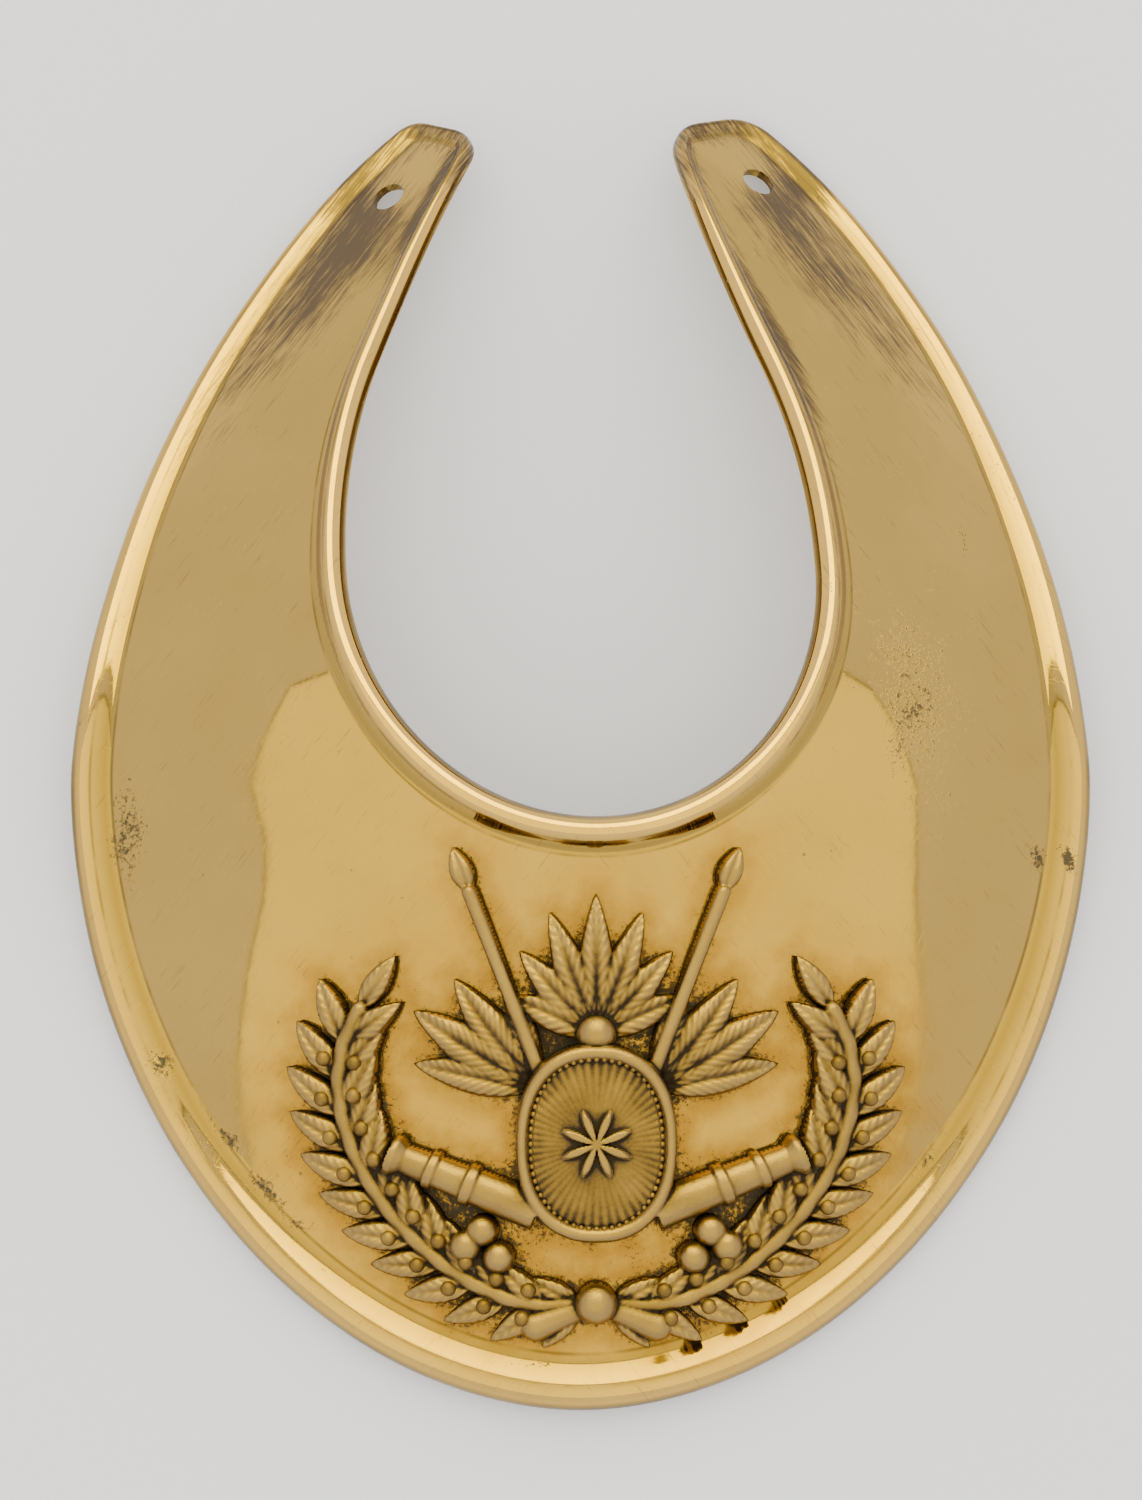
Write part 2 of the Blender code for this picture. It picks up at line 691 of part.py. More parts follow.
def thinned(data, faces):
    """A mesh with fewer faces, from a Decimate modifier."""
    holder = bpy.data.objects.new("thinned", data)
    bpy.context.scene.collection.objects.link(holder)
    modifier = holder.modifiers.new("Decimate", "DECIMATE")
    modifier.ratio = faces / (2.0 * len(data.polygons))
    modifier.use_collapse_triangulate = True
    graph = bpy.context.evaluated_depsgraph_get()
    result = bpy.data.meshes.new_from_object(holder.evaluated_get(graph))
    bpy.data.objects.remove(holder)
    return result


def badge_mesh():
    """The casting: its thinned face, a back that follows the plate, and walls between them."""
    mesh = bmesh.new()
    mesh.from_mesh(thinned(badge_face(), BADGE_TOP_FACES))
    face = set(mesh.verts)
    bmesh.ops.extrude_face_region(mesh, geom=mesh.faces[:])
    for vert in mesh.verts:
        if vert not in face:
            vert.co.z = 0.0
    bmesh.ops.recalc_face_normals(mesh, faces=mesh.faces[:])
    places = np.array([vert.co[:] for vert in mesh.verts])
    points = lifted(BADGE_X + places[:, 0], BADGE_Y + places[:, 1], SEAT_GAP + places[:, 2])
    for vert, point in zip(mesh.verts, points):
        vert.co = point
    data = bpy.data.meshes.new("badge")
    mesh.to_mesh(data)
    mesh.free()
    return data


# Objects


def add_object(name, data, collection, material, parent):
    item = bpy.data.objects.new(name, data)
    collection.objects.link(item)
    if material is not None:
        data.materials.append(material)
    item.parent = parent
    return item


def set_square_to_plate(item, x, y, lift):
    """Puts an object's origin at a height above the dome, with its Z axis square to the dome."""
    normal = unit_normal(x, y)
    item.rotation_euler = normal.to_track_quat("Z", "Y").to_euler()
    item.location = lifted(np.array([x]), np.array([y]), lift)[0]


def cylinder_mesh(name, diameter, depth, centre_z, sides=24):
    mesh = bmesh.new()
    bmesh.ops.create_cone(
        mesh,
        cap_ends=True,
        segments=sides,
        radius1=diameter / 2.0,
        radius2=diameter / 2.0,
        depth=depth,
        matrix=Matrix.Translation((0.0, 0.0, centre_z)),
    )
    data = bpy.data.meshes.new(name)
    mesh.to_mesh(data)
    mesh.free()
    return data


def add_cutter(name, data, collection, parent, x, y):
    cutter = add_object(name, data, collection, None, parent)
    set_square_to_plate(cutter, x, y, 0.0)
    cutter.hide_render = True
    cutter.display_type = "WIRE"
    return cutter


def cut(item, cutter):
    modifier = item.modifiers.new("Cut " + cutter.name, "BOOLEAN")
    modifier.operation = "DIFFERENCE"
    modifier.solver = "EXACT"
    modifier.object = cutter


def add_plate(collection, material, parent):
    plate = add_object("gorget_plate", plate_mesh(), collection, material, parent)
    sheet = plate.modifiers.new("Sheet", "SOLIDIFY")
    sheet.thickness = SHEET
    sheet.offset = -1.0
    sheet.use_even_offset = True
    return plate


def pin_mesh(name):
    """A plain pin, turned from a profile that runs down from the tip of its shank to its head."""
    shank, head = PIN_DIAMETER / 2.0, PIN_HEAD_DIAMETER / 2.0
    top = SEAT_GAP + PIN_DEPTH_IN_BADGE
    seat = -SHEET - PIN_CLEARANCE
    profile = (
        (0.0, top),
        (shank, top),
        (shank, seat),
        (head, seat),
        (head, seat - PIN_HEAD_THICKNESS),
        (0.0, seat - PIN_HEAD_THICKNESS),
    )
    mesh = bmesh.new()
    verts = [mesh.verts.new((radius, 0.0, height)) for radius, height in profile]
    for first, second in zip(verts[:-1], verts[1:]):
        mesh.edges.new((first, second))
    data = bpy.data.meshes.new(name)
    mesh.to_mesh(data)
    mesh.free()
    return data


def pin_places():
    """Two pins under the cartouche and one under each gun, from the cartouche's middle."""
    rise = PIN_RISE_SHARE * CARTOUCHE_HALF_HEIGHT
    gun_x, gun_y = between(placed(BREECH), placed(MUZZLE), 0.5)
    return (0.0, rise), (0.0, -rise), (-gun_x, gun_y), (gun_x, gun_y)


def add_pins(collection, cutters, material, parent, plate, badge):
    """Pins that pass through holes in the plate into blind holes in the badge's back."""
    for number, (along_x, along_y) in enumerate(pin_places(), 1):
        x, y = BADGE_X + along_x, BADGE_Y + along_y
        name = f"badge_pin_{number}"
        pin = add_object(name, pin_mesh(name), collection, material, parent)
        set_square_to_plate(pin, x, y, 0.0)
        turn = pin.modifiers.new("Turn", "SCREW")
        turn.steps = 12
        turn.render_steps = 12
        turn.use_merge_vertices = True
        turn.merge_threshold = 0.00001
        bore = PIN_DIAMETER + 2.0 * PIN_CLEARANCE
        through = cylinder_mesh(f"hole_{number}", bore, 4.0 * SHEET, -0.5 * SHEET, 16)
        cut(plate, add_cutter(f"hole_{number}", through, cutters, parent, x, y))
        depth = SEAT_GAP + PIN_DEPTH_IN_BADGE + PIN_CLEARANCE
        blind = cylinder_mesh(f"socket_{number}", bore, 2.0 * depth, 0.0, 16)
        cut(badge, add_cutter(f"socket_{number}", blind, cutters, parent, x, y))


def add_ribbon_holes(cutters, parent, plate):
    for name, side, down, share in RIBBON_HOLES:
        outer = shortened(cut_at_tip(outer_line(side), side), down)[-1]
        neck = shortened(cut_at_tip(neck_line(side), side), down)[-1]
        x, y = neck + share * (outer - neck)
        bore = cylinder_mesh(f"ribbon_{name}", RIBBON_HOLE_DIAMETER, 8.0 * SHEET, -0.5 * SHEET)
        cut(plate, add_cutter(f"ribbon_{name}", bore, cutters, parent, x, y))


def world_points(item):
    graph = bpy.context.evaluated_depsgraph_get()
    graph.update()
    data = item.evaluated_get(graph).to_mesh()
    places = np.empty(3 * len(data.vertices))
    data.vertices.foreach_get("co", places)
    return places.reshape(-1, 3)


def rest_tilt(points):
    """Turn about X at which the horns and the lower half reach the floor together."""
    horns = points[points[:, 1] > 0.5 * horn_height()]
    body = points[points[:, 1] < 0.0]
    low, high = 0.0, math.radians(30.0)
    for _ in range(40):
        tilt = (low + high) / 2.0
        horn_foot = (horns[:, 1] * math.sin(tilt) + horns[:, 2] * math.cos(tilt)).min()
        body_foot = (body[:, 1] * math.sin(tilt) + body[:, 2] * math.cos(tilt)).min()
        if horn_foot < body_foot:
            low = tilt
        else:
            high = tilt
    return tilt, min(horn_foot, body_foot)


def main():
    clear_scene()
    parts = new_collection("officer_gorget")
    cutters = new_collection("cutters")
    gilt = metal("polished_gilt", (0.72, 0.50, 0.20), 0.22)
    cast_gilt = metal("matte_gilt", (0.60, 0.44, 0.20), 0.45)
    brass = metal("pin_brass", (0.45, 0.33, 0.17), 0.40)
    rest = bpy.data.objects.new("resting_place", None)
    parts.objects.link(rest)
    plate = add_plate(parts, gilt, rest)
    points = world_points(plate)
    badge = add_object("badge", badge_mesh(), parts, cast_gilt, rest)
    add_ribbon_holes(cutters, rest, plate)
    add_pins(parts, cutters, brass, rest, plate, badge)
    tilt, foot = rest_tilt(points)
    turned_y = points[:, 1] * math.cos(tilt) - points[:, 2] * math.sin(tilt)
    middle_x = (points[:, 0].min() + points[:, 0].max()) / 2.0
    middle_y = (turned_y.min() + turned_y.max()) / 2.0
    rest.rotation_euler = (tilt, 0.0, 0.0)
    rest.location = (-middle_x, -middle_y, -foot)
    bpy.context.view_layer.update()


main()
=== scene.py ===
# %% [markdown]
# # An officer's gorget
#
# A gorget of about 1800 to 1830 is a crescent of thin gilt copper, the last remnant of a suit of armour.
# Its sheet is bowed round the chest, swept back round the neck, and stiffened by a rolled rim. A cast and
# gilt badge is pinned to its front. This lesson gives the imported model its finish: a fine sheet with the
# same form, a casting with all its modelling, gilding that is polished, worn and stained, and soft light.

import math

import bmesh
import bpy
import numpy as np
from mathutils import Matrix, Vector, kdtree


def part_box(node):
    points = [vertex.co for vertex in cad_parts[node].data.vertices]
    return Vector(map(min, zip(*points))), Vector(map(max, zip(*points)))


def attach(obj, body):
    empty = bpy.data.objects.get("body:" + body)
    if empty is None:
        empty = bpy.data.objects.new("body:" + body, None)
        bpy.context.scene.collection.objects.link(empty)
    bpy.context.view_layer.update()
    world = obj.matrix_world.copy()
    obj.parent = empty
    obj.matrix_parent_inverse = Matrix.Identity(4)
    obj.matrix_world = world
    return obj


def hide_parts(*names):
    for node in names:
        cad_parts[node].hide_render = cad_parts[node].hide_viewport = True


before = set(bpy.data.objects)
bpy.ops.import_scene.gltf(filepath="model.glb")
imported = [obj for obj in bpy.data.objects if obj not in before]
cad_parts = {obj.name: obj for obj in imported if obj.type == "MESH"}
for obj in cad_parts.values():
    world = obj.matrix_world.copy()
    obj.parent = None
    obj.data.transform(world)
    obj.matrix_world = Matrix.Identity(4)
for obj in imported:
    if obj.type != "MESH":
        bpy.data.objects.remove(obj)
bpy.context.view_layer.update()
print("nodes:", sorted(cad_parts))

# %% [markdown]
# ## Sizes
# The sizes are those of the model, in metres and degrees: its outline is part of two unlike superellipses
# outside, and an ellipse, an arc and a straight line at the neck. Millimetres are used for what is small.

# %% Named sizes
MM = 0.001
PLATE_WIDTH = 0.1076
LOWER_HEIGHT, LOWER_POWER = 0.0656, 1.93
UPPER_HEIGHT = 0.0791
NECK_CENTRE_Y, NECK_HALF_WIDTH, NECK_DEPTH = 0.0230, 0.0249, 0.0262
NECK_ARC_RADIUS, HORN_LEAN = 0.0561, 23.1
NECK_SKEW, NECK_SKEW_REACH = 0.062, 0.0498
TIP_HEIGHT, TIP_CORNER, CORNER_FULLNESS = 0.0438, 0.0030, 0.9
HORNS = {
    # side: power of its outer curve, height of its tip in tip heights, outward slope of the tip in degrees,
    # outer and inner corner in tip corners
    -1: (1.63, 1.00, 13.0, 0.70, 1.00),
    1: (1.66, 1.04, 9.0, 1.03, 1.10),
}
SHEET = 0.0009
BODY_BOW_RADIUS, HORN_BOW_RADIUS = 0.080, 0.027
HORN_SWEEP_RADIUS, LOWER_SWEEP_RADIUS = 0.0927, 0.500
OUTER_RIM_WIDTH, NECK_RIM_WIDTH = 0.0060, 0.0042
OUTER_RIM_RISE, NECK_RIM_RISE = 0.0018, 0.0016
RIM_TIP_SHARE, RIM_CREST_SHARE, EDGE_DROP, CORNER_FAN = 0.46, 0.36, 0.0007, 0.0020
RIBBON_HOLE_DIAMETER = 0.0036
RIBBON_HOLES = (
    # side, length down the horn from its tip, share of the way from the neck to the outer edge
    (-1, 0.0096, 0.56),
    (1, 0.0082, 0.595),
)
BADGE_X, BADGE_Y, BADGE_HALF_WIDTH = 0.0016, -0.0372, 0.0265
CARTOUCHE_HALF_WIDTH, CARTOUCHE_HALF_HEIGHT = 0.0082, 0.0104
BREECH, MUZZLE = (0.226, -0.272), (0.800, -0.045)
PIN_HOLE_DIAMETER, PIN_RISE_SHARE = 0.0022, 0.67
REST_TILT = 13.55

# %% [markdown]
# ## Form of the sheet
# A smith raises the sheet over a stake, so that it is a smooth double curve. One formula gives its height
# above the plate's own plane. `lifted` places a point square to that curve, which is how the rim and the
# badge stand on it.


# %% The bowed and swept sheet
def dome(x, y):
    rise = np.clip(y / (NECK_CENTRE_Y + TIP_HEIGHT), 0.0, 2.0)
    tightening = 1.0 / HORN_BOW_RADIUS - 1.0 / BODY_BOW_RADIUS
    bow = (1.0 / BODY_BOW_RADIUS + tightening * rise**1.5) * x * x / 2.0
    up = np.clip(y, 0.0, 0.99 * HORN_SWEEP_RADIUS)
    sweep = HORN_SWEEP_RADIUS - np.sqrt(HORN_SWEEP_RADIUS**2 - up * up)
    down = np.clip(-y, 0.0, None)
    return -(bow + sweep + down * down / (2.0 * LOWER_SWEEP_RADIUS))


def dome_slopes(x, y):
    step = 1e-5
    along_x = (dome(x + step, y) - dome(x - step, y)) / (2.0 * step)
    along_y = (dome(x, y + step) - dome(x, y - step)) / (2.0 * step)
    return along_x, along_y


def unit(values):
    """Values held between 0 and 1."""
    return np.clip(values, 0.0, 1.0)


def rounded(share):
    """Height of a quarter circle: 1 at share 0, and 0 from share 1 on."""
    return np.sqrt(unit(1.0 - share * share))


def lifted(x, y, lift):
    slope_x, slope_y = dome_slopes(x, y)
    size = np.sqrt(1.0 + slope_x**2 + slope_y**2)
    return np.column_stack(
        [x - lift * slope_x / size, y - lift * slope_y / size, dome(x, y) + lift / size]
    )


def unit_normal(x, y):
    slope_x, slope_y = dome_slopes(x, y)
    return Vector((-slope_x, -slope_y, 1.0)).normalized()


print("depth at the horns, mm:", round(float(-dome(0.018, 0.066)) / MM, 1))


# %% [markdown]
# ## Outline
# Both sides are cut from the same kinds of curve. The neck is sheared a little, and the horns differ in
# their outer curves, tips and corners, because this gorget was cut by eye. Its left horn is the narrower.


# %% Outline of the plate
OUTER_POINTS, NECK_POINTS, ARC_POINTS, EDGE_POINTS, CORNER_POINTS = 900, 600, 400, 1500, 81


def length_along(points):
    return np.concatenate([[0.0], np.cumsum(np.linalg.norm(np.diff(points, axis=0), axis=1))])


def at_shares(points, shares):
    length = length_along(points)
    places = np.asarray(shares) * length[-1]
    return np.column_stack([np.interp(places, length, points[:, k]) for k in range(2)])


def power_arc(side, height, power, start, end):
    angle = np.linspace(math.radians(start), math.radians(end), OUTER_POINTS)
    across = side * PLATE_WIDTH / 2.0 * np.abs(np.cos(angle)) ** (2.0 / power)
    up = height * np.sign(angle) * np.abs(np.sin(angle)) ** (2.0 / power)
    return np.column_stack([across, up])


def outer_line(side):
    lower = power_arc(side, LOWER_HEIGHT, LOWER_POWER, -90.0, 0.0)
    upper = power_arc(side, UPPER_HEIGHT, HORNS[side][0], 0.0, 90.0)
    return np.vstack([lower, upper[1:]])


def from_neck(points):
    x, y = points[:, 0], points[:, 1]
    lean = NECK_SKEW * y * (1.0 - np.clip(y / NECK_SKEW_REACH, 0.0, None) ** 3)
    return np.column_stack([x - lean, y + NECK_CENTRE_Y])


def neck_line(side):
    angle = np.linspace(-math.pi / 2.0, 0.0, NECK_POINTS)
    below = np.column_stack([NECK_HALF_WIDTH * np.cos(angle), NECK_DEPTH * np.sin(angle)])
    lean = math.radians(HORN_LEAN)
    bend = np.linspace(0.0, lean, ARC_POINTS)
    arc = np.column_stack(
        [NECK_HALF_WIDTH - NECK_ARC_RADIUS * (1.0 - np.cos(bend)), NECK_ARC_RADIUS * np.sin(bend)]
    )
    reach = np.linspace(0.0, 1.5 * TIP_HEIGHT, NECK_POINTS)[:, None]
    straight = arc[-1] + reach * np.array([-math.sin(lean), math.cos(lean)])
    return from_neck(np.vstack([below, arc[1:], straight[1:]]) * np.array([side, 1.0]))


def cut_at_tip(points, side):
    _, height, slope, _, _ = HORNS[side]
    edge_y = NECK_CENTRE_Y + height * TIP_HEIGHT
    over = points[:, 1] - edge_y - side * math.tan(math.radians(slope)) * points[:, 0]
    first = int(np.argmax(over > 0.0))
    share = -over[first - 1] / (over[first] - over[first - 1])
    end = points[first - 1] + share * (points[first] - points[first - 1])
    return np.vstack([points[:first], end])


def shortened(points, length):
    return at_shares(points, np.linspace(0.0, 1.0 - length / length_along(points)[-1], EDGE_POINTS))


def corner(start, apex, end):
    share = np.linspace(0.0, 1.0, CORNER_POINTS)[:, None]
    return (1 - share) ** 2 * start + 2 * share * (1 - share) * apex + share**2 * end


def half_outline(side):
    outer, neck = cut_at_tip(outer_line(side), side), cut_at_tip(neck_line(side), side)
    outer_apex, neck_apex = outer[-1], neck[-1]
    across = (neck_apex - outer_apex) / np.linalg.norm(neck_apex - outer_apex)
    outer_size, neck_size = (share * TIP_CORNER for share in HORNS[side][3:])
    outer, neck = shortened(outer, outer_size), shortened(neck, neck_size)
    outer_end = outer_apex + across * outer_size * CORNER_FULLNESS
    neck_end = neck_apex - across * neck_size * CORNER_FULLNESS
    outer_corner = corner(outer[-1], outer_apex, outer_end)
    neck_corner = corner(neck[-1], neck_apex, neck_end)
    middle = len(outer_corner) // 2
    tip = np.vstack([outer_corner[middle:], neck_corner[::-1][: middle + 1]])
    outer = np.vstack([outer, outer_corner[1 : middle + 1]])
    return outer, tip, np.vstack([neck, neck_corner[1 : middle + 1]])


print("tip width, mm:", round(float(length_along(half_outline(1)[1])[-1]) / MM, 1))

# %% [markdown]
# ## Sheet and rolled rim
# The rim was rolled over a wire or a swage: a quarter round, a crest and a hollow cove. Rings of points
# follow it all the way round, and rows across the crescent join them, so the quads run with the form and
# a polished reflection stays even. Hammered sheet is never quite true: a few slow waves, a tenth of a
# millimetre high, make the edges of the reflections wander as they do on the real one.

# %% Fine sheet
ALONG_STEPS, ACROSS_STEPS = 400, 76
TIP_POINTS = ACROSS_STEPS - 1
EVEN_SHARE = 0.45
RIM_ROWS = np.linspace(0.0, 1.0, 15) ** 1.4
RIM_TIP_RISE = 0.6
WAVES = (
    # waves per metre along X, along Y, phase, height
    (31.0, 12.0, 0.4, 0.000050),
    (-17.0, 38.0, 1.9, 0.000040),
    (52.0, -29.0, 3.1, 0.000022),
    (9.0, 61.0, 5.2, 0.000018),
)


def hammering(x, y):
    return sum(
        height * np.sin(2.0 * math.pi * (along_x * x + along_y * y) + phase)
        for along_x, along_y, phase, height in WAVES
    )


def rim_lift(share, rise, start=0.0):
    """Height of the rim at a share of its width; its quarter round starts at a share of its own."""
    short = unit((RIM_CREST_SHARE - share) / (RIM_CREST_SHARE - start))
    quarter_round = rise - (rise + EDGE_DROP) * (1.0 - rounded(short))
    fall = unit((share - RIM_CREST_SHARE) / (1.0 - RIM_CREST_SHARE))
    return np.where(share < RIM_CREST_SHARE, quarter_round, rise * (0.5 + 0.5 * np.cos(math.pi * fall)))


def plate_outline():
    left, right = half_outline(-1), half_outline(1)
    even = np.linspace(0.0, 1.0, ALONG_STEPS + 1)
    shares = EVEN_SHARE * even + (1.0 - EVEN_SHARE) * (0.5 - 0.5 * np.cos(math.pi * even))
    tip_shares = np.linspace(0.0, 1.0, TIP_POINTS + 2)[1:-1]
    points = np.vstack(
        [
            at_shares(np.vstack([left[0][::-1], right[0][1:]]), shares),
            at_shares(right[1], tip_shares),
            at_shares(np.vstack([left[2][::-1], right[2][1:]]), shares)[::-1],
            at_shares(left[1], tip_shares)[::-1],
        ]
    )
    fullness = np.sin(math.pi * shares) ** 0.8
    width = RIM_TIP_SHARE + (1.0 - RIM_TIP_SHARE) * fullness
    rise = RIM_TIP_RISE + (1.0 - RIM_TIP_RISE) * fullness
    tip_width = np.full(TIP_POINTS, RIM_TIP_SHARE * (OUTER_RIM_WIDTH + NECK_RIM_WIDTH) / 2.0)
    tip_rise = np.full(TIP_POINTS, RIM_TIP_RISE * (OUTER_RIM_RISE + NECK_RIM_RISE) / 2.0)
    widths = [OUTER_RIM_WIDTH * width, tip_width, NECK_RIM_WIDTH * width, tip_width]
    rises = [OUTER_RIM_RISE * rise, tip_rise, NECK_RIM_RISE * rise, tip_rise]
    sizes = evened(points, np.column_stack([np.concatenate(widths), np.concatenate(rises)]))
    return points, sizes[:, 0], sizes[:, 1]


def evened(points, values):
    """Values evened out along the closed edge, so that the rim fans softly round each corner."""
    place = length_along(np.vstack([points, points[:1]]))
    away = np.abs(place[:-1, None] - place[None, :-1])
    away = np.minimum(away, place[-1] - away)
    step = np.diff(place) + np.roll(np.diff(place), 1)
    weight = np.exp(-0.5 * (away / CORNER_FAN) ** 2) * step[None, :]
    return weight @ values / weight.sum(axis=1)[:, None]


def inward_normals(points):
    ahead = np.roll(points, -1, axis=0) - np.roll(points, 1, axis=0)
    ahead /= np.linalg.norm(ahead, axis=1)[:, None]
    inward = evened(points, np.column_stack([-ahead[:, 1], ahead[:, 0]]))
    return inward / np.linalg.norm(inward, axis=1)[:, None]


def rim_reach(outline, inward, width):
    """Width of the rim as seen from the front, where the sheet slopes away."""
    slope_x, slope_y = dome_slopes(outline[:, 0], outline[:, 1])
    return width / np.sqrt(1.0 + (slope_x * inward[:, 0] + slope_y * inward[:, 1]) ** 2)


def sheet_face(depth):
    """One face of the sheet, `depth` below its front: rings from the edge, then rows across the field."""
    outline, width, rise = plate_outline()
    inward = inward_normals(outline)
    reach = rim_reach(outline, inward, width)
    count = len(outline)
    start = np.minimum(depth / width, 0.55 * RIM_CREST_SHARE)
    low_rise = rise - np.minimum(depth, 0.5 * rise)
    points = []
    for row in RIM_ROWS:
        share = start + (1.0 - start) * row
        place = outline + inward * (share * reach)[:, None]
        cove = rim_lift(share, low_rise + depth) - depth
        lift = np.where(share < RIM_CREST_SHARE, rim_lift(share, low_rise, start), cove)
        lift = lift + hammering(place[:, 0], place[:, 1])
        points.append(lifted(place[:, 0], place[:, 1], lift))
    ring = np.arange(count)
    quads = []
    for row in range(len(RIM_ROWS) - 1):
        here, after = row * count + ring, row * count + np.roll(ring, -1)
        quads.append(np.column_stack([here, after, after + count, here + count]))
    inner = (len(RIM_ROWS) - 1) * count
    grid = np.empty((ALONG_STEPS + 1, ACROSS_STEPS + 1), dtype=int)
    steps = np.arange(ALONG_STEPS + 1)
    grid[:, 0] = inner + steps
    grid[:, -1] = inner + 2 * ALONG_STEPS + 1 + TIP_POINTS - steps
    grid[0, 1:-1] = inner + count - 1 - np.arange(TIP_POINTS)
    grid[-1, 1:-1] = inner + ALONG_STEPS + 1 + np.arange(TIP_POINTS)
    middle = np.arange((ALONG_STEPS - 1) * (ACROSS_STEPS - 1)) + inner + count
    grid[1:-1, 1:-1] = middle.reshape(ALONG_STEPS - 1, ACROSS_STEPS - 1)
    first, last = place[grid[1:-1, 0] - inner], place[grid[1:-1, -1] - inner]
    shares = np.linspace(0.0, 1.0, ACROSS_STEPS + 1)[None, 1:-1, None]
    field = (first[:, None] + shares * (last - first)[:, None]).reshape(-1, 2)
    points.append(lifted(field[:, 0], field[:, 1], hammering(field[:, 0], field[:, 1]) - depth))
    across = [grid[:-1, :-1], grid[1:, :-1], grid[1:, 1:], grid[:-1, 1:]]
    quads.append(np.column_stack([part.ravel() for part in across]))
    return np.vstack(points), np.vstack(quads), outline


def mesh_from(name, points, faces):
    data = bpy.data.meshes.new(name)
    data.from_pydata(points.tolist(), [], faces.tolist())
    data.update()
    return data


def mesh_of(name, draft):
    data = bpy.data.meshes.new(name)
    draft.to_mesh(data)
    draft.free()
    return data


def coordinates(data):
    places = np.empty(3 * len(data.vertices))
    data.vertices.foreach_get("co", places)
    return places.reshape(-1, 3)


def triangles(data):
    return sum(len(face.vertices) - 2 for face in data.polygons)


def add_object(name, data):
    item = bpy.data.objects.new(name, data)
    bpy.context.scene.collection.objects.link(item)
    return item


def plain_result(item):
    """The mesh that an object's modifiers make, without the object."""
    graph = bpy.context.evaluated_depsgraph_get()
    result = bpy.data.meshes.new_from_object(item.evaluated_get(graph))
    bpy.data.objects.remove(item)
    return result


def sheet_solid():
    """Front, back and the narrow edge that joins them."""
    front, quads, outline = sheet_face(0.0)
    back, _, _ = sheet_face(SHEET)
    here, after = np.arange(len(outline)), np.roll(np.arange(len(outline)), -1)
    edge = np.column_stack([after, here, here + len(front), after + len(front)])
    return np.vstack([front, back]), np.vstack([quads, quads[:, ::-1] + len(front), edge]), outline


sheet_points, sheet_quads, outline = sheet_solid()
print("quads of the sheet:", len(sheet_quads))


# %% [markdown]
# ## Holes
# The ribbon holes were drilled square to the horns, which slope away, so they look like ovals from the
# front. Four more holes take the badge's pins. One Boolean cuts all six, and its result replaces the plain
# sheet.


# %% Cut sheet
RIBBON_HOLE_SIDES, PIN_HOLE_SIDES = 48, 24


def placed(shares):
    return tuple(share * BADGE_HALF_WIDTH for share in shares)


def ribbon_hole_places():
    for side, down, share in RIBBON_HOLES:
        outer = shortened(cut_at_tip(outer_line(side), side), down)[-1]
        neck = shortened(cut_at_tip(neck_line(side), side), down)[-1]
        yield tuple(neck + share * (outer - neck))


def drill(draft, x, y, diameter, sides):
    turn = unit_normal(x, y).to_track_quat("Z", "Y").to_matrix().to_4x4()
    place = Matrix.Translation(lifted(np.array([x]), np.array([y]), -0.5 * SHEET)[0])
    bmesh.ops.create_cone(
        draft, cap_ends=True, segments=sides, radius1=diameter / 2.0, radius2=diameter / 2.0,
        depth=8.0 * SHEET, matrix=place @ turn,
    )


def pin_places():
    low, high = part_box("badge_pin_1")
    print("first pin from", [round(v / MM, 1) for v in low], "to", [round(v / MM, 1) for v in high])
    gun_x, gun_y = (np.array(placed(BREECH)) + np.array(placed(MUZZLE))) / 2.0
    rise = PIN_RISE_SHARE * CARTOUCHE_HALF_HEIGHT
    return (0.0, rise), (0.0, -rise), (-gun_x, gun_y), (gun_x, gun_y)


def cut_sheet():
    sheet = add_object("sheet", mesh_from("sheet", sheet_points, sheet_quads))
    drills = bmesh.new()
    for x, y in ribbon_hole_places():
        drill(drills, x, y, RIBBON_HOLE_DIAMETER, RIBBON_HOLE_SIDES)
    for x, y in pin_places():
        drill(drills, BADGE_X + x, BADGE_Y + y, PIN_HOLE_DIAMETER, PIN_HOLE_SIDES)
    cutter = add_object("drills", mesh_of("drills", drills))
    cut = sheet.modifiers.new("Holes", "BOOLEAN")
    cut.operation, cut.solver, cut.object = "DIFFERENCE", "EXACT", cutter
    result = plain_result(sheet)
    bpy.data.objects.remove(cutter)
    return result


sheet_mesh = cut_sheet()
print("triangles of the sheet:", triangles(sheet_mesh))

# %% [markdown]
# ## Relief of the badge
# The casting is a trophy of arms: an oval cartouche with a star, a palmette above it, two sprays of laurel
# tied with a ribbon, spears, fronds, guns and balls. The modeller built it up in layers of wax. Here each
# element gives a distance to its edge and a height, and the highest one shows.

# %% Named sizes of the badge
BADGE_EDGE = 0.0010
CARTOUCHE_POWER, CARTOUCHE_RISE, CARTOUCHE_BORDER = 2.3, 0.0026, 0.0014
CARTOUCHE_CROWN, STAR_RISE = 0.0007, 0.0006
SPRAY_LEAF_LENGTH, SPRAY_LEAF_WIDTH, STEM_RADIUS = 0.0078, 0.0031, 0.0009
CREST_LEAF_LENGTH, CREST_LEAF_WIDTH, CREST_BOSS_RADIUS = 0.0145, 0.0036, 0.0021
STAFF_RADIUS, SPEAR_LENGTH, SPEAR_WIDTH = 0.0008, 0.0050, 0.0024
BARREL_RADIUS, BALL_RADIUS, KNOT_RADIUS = 0.0019, 0.0017, 0.0022
FROND_LENGTH, FROND_WIDTH = 0.0150, 0.0046
STAFF_FOOT, STAFF_HEAD = (0.110, 0.000), (0.490, 0.985)
FROND_ROOT = (0.235, 0.215)
BALLS = ((0.377, -0.453), (0.506, -0.408), (0.442, -0.347))
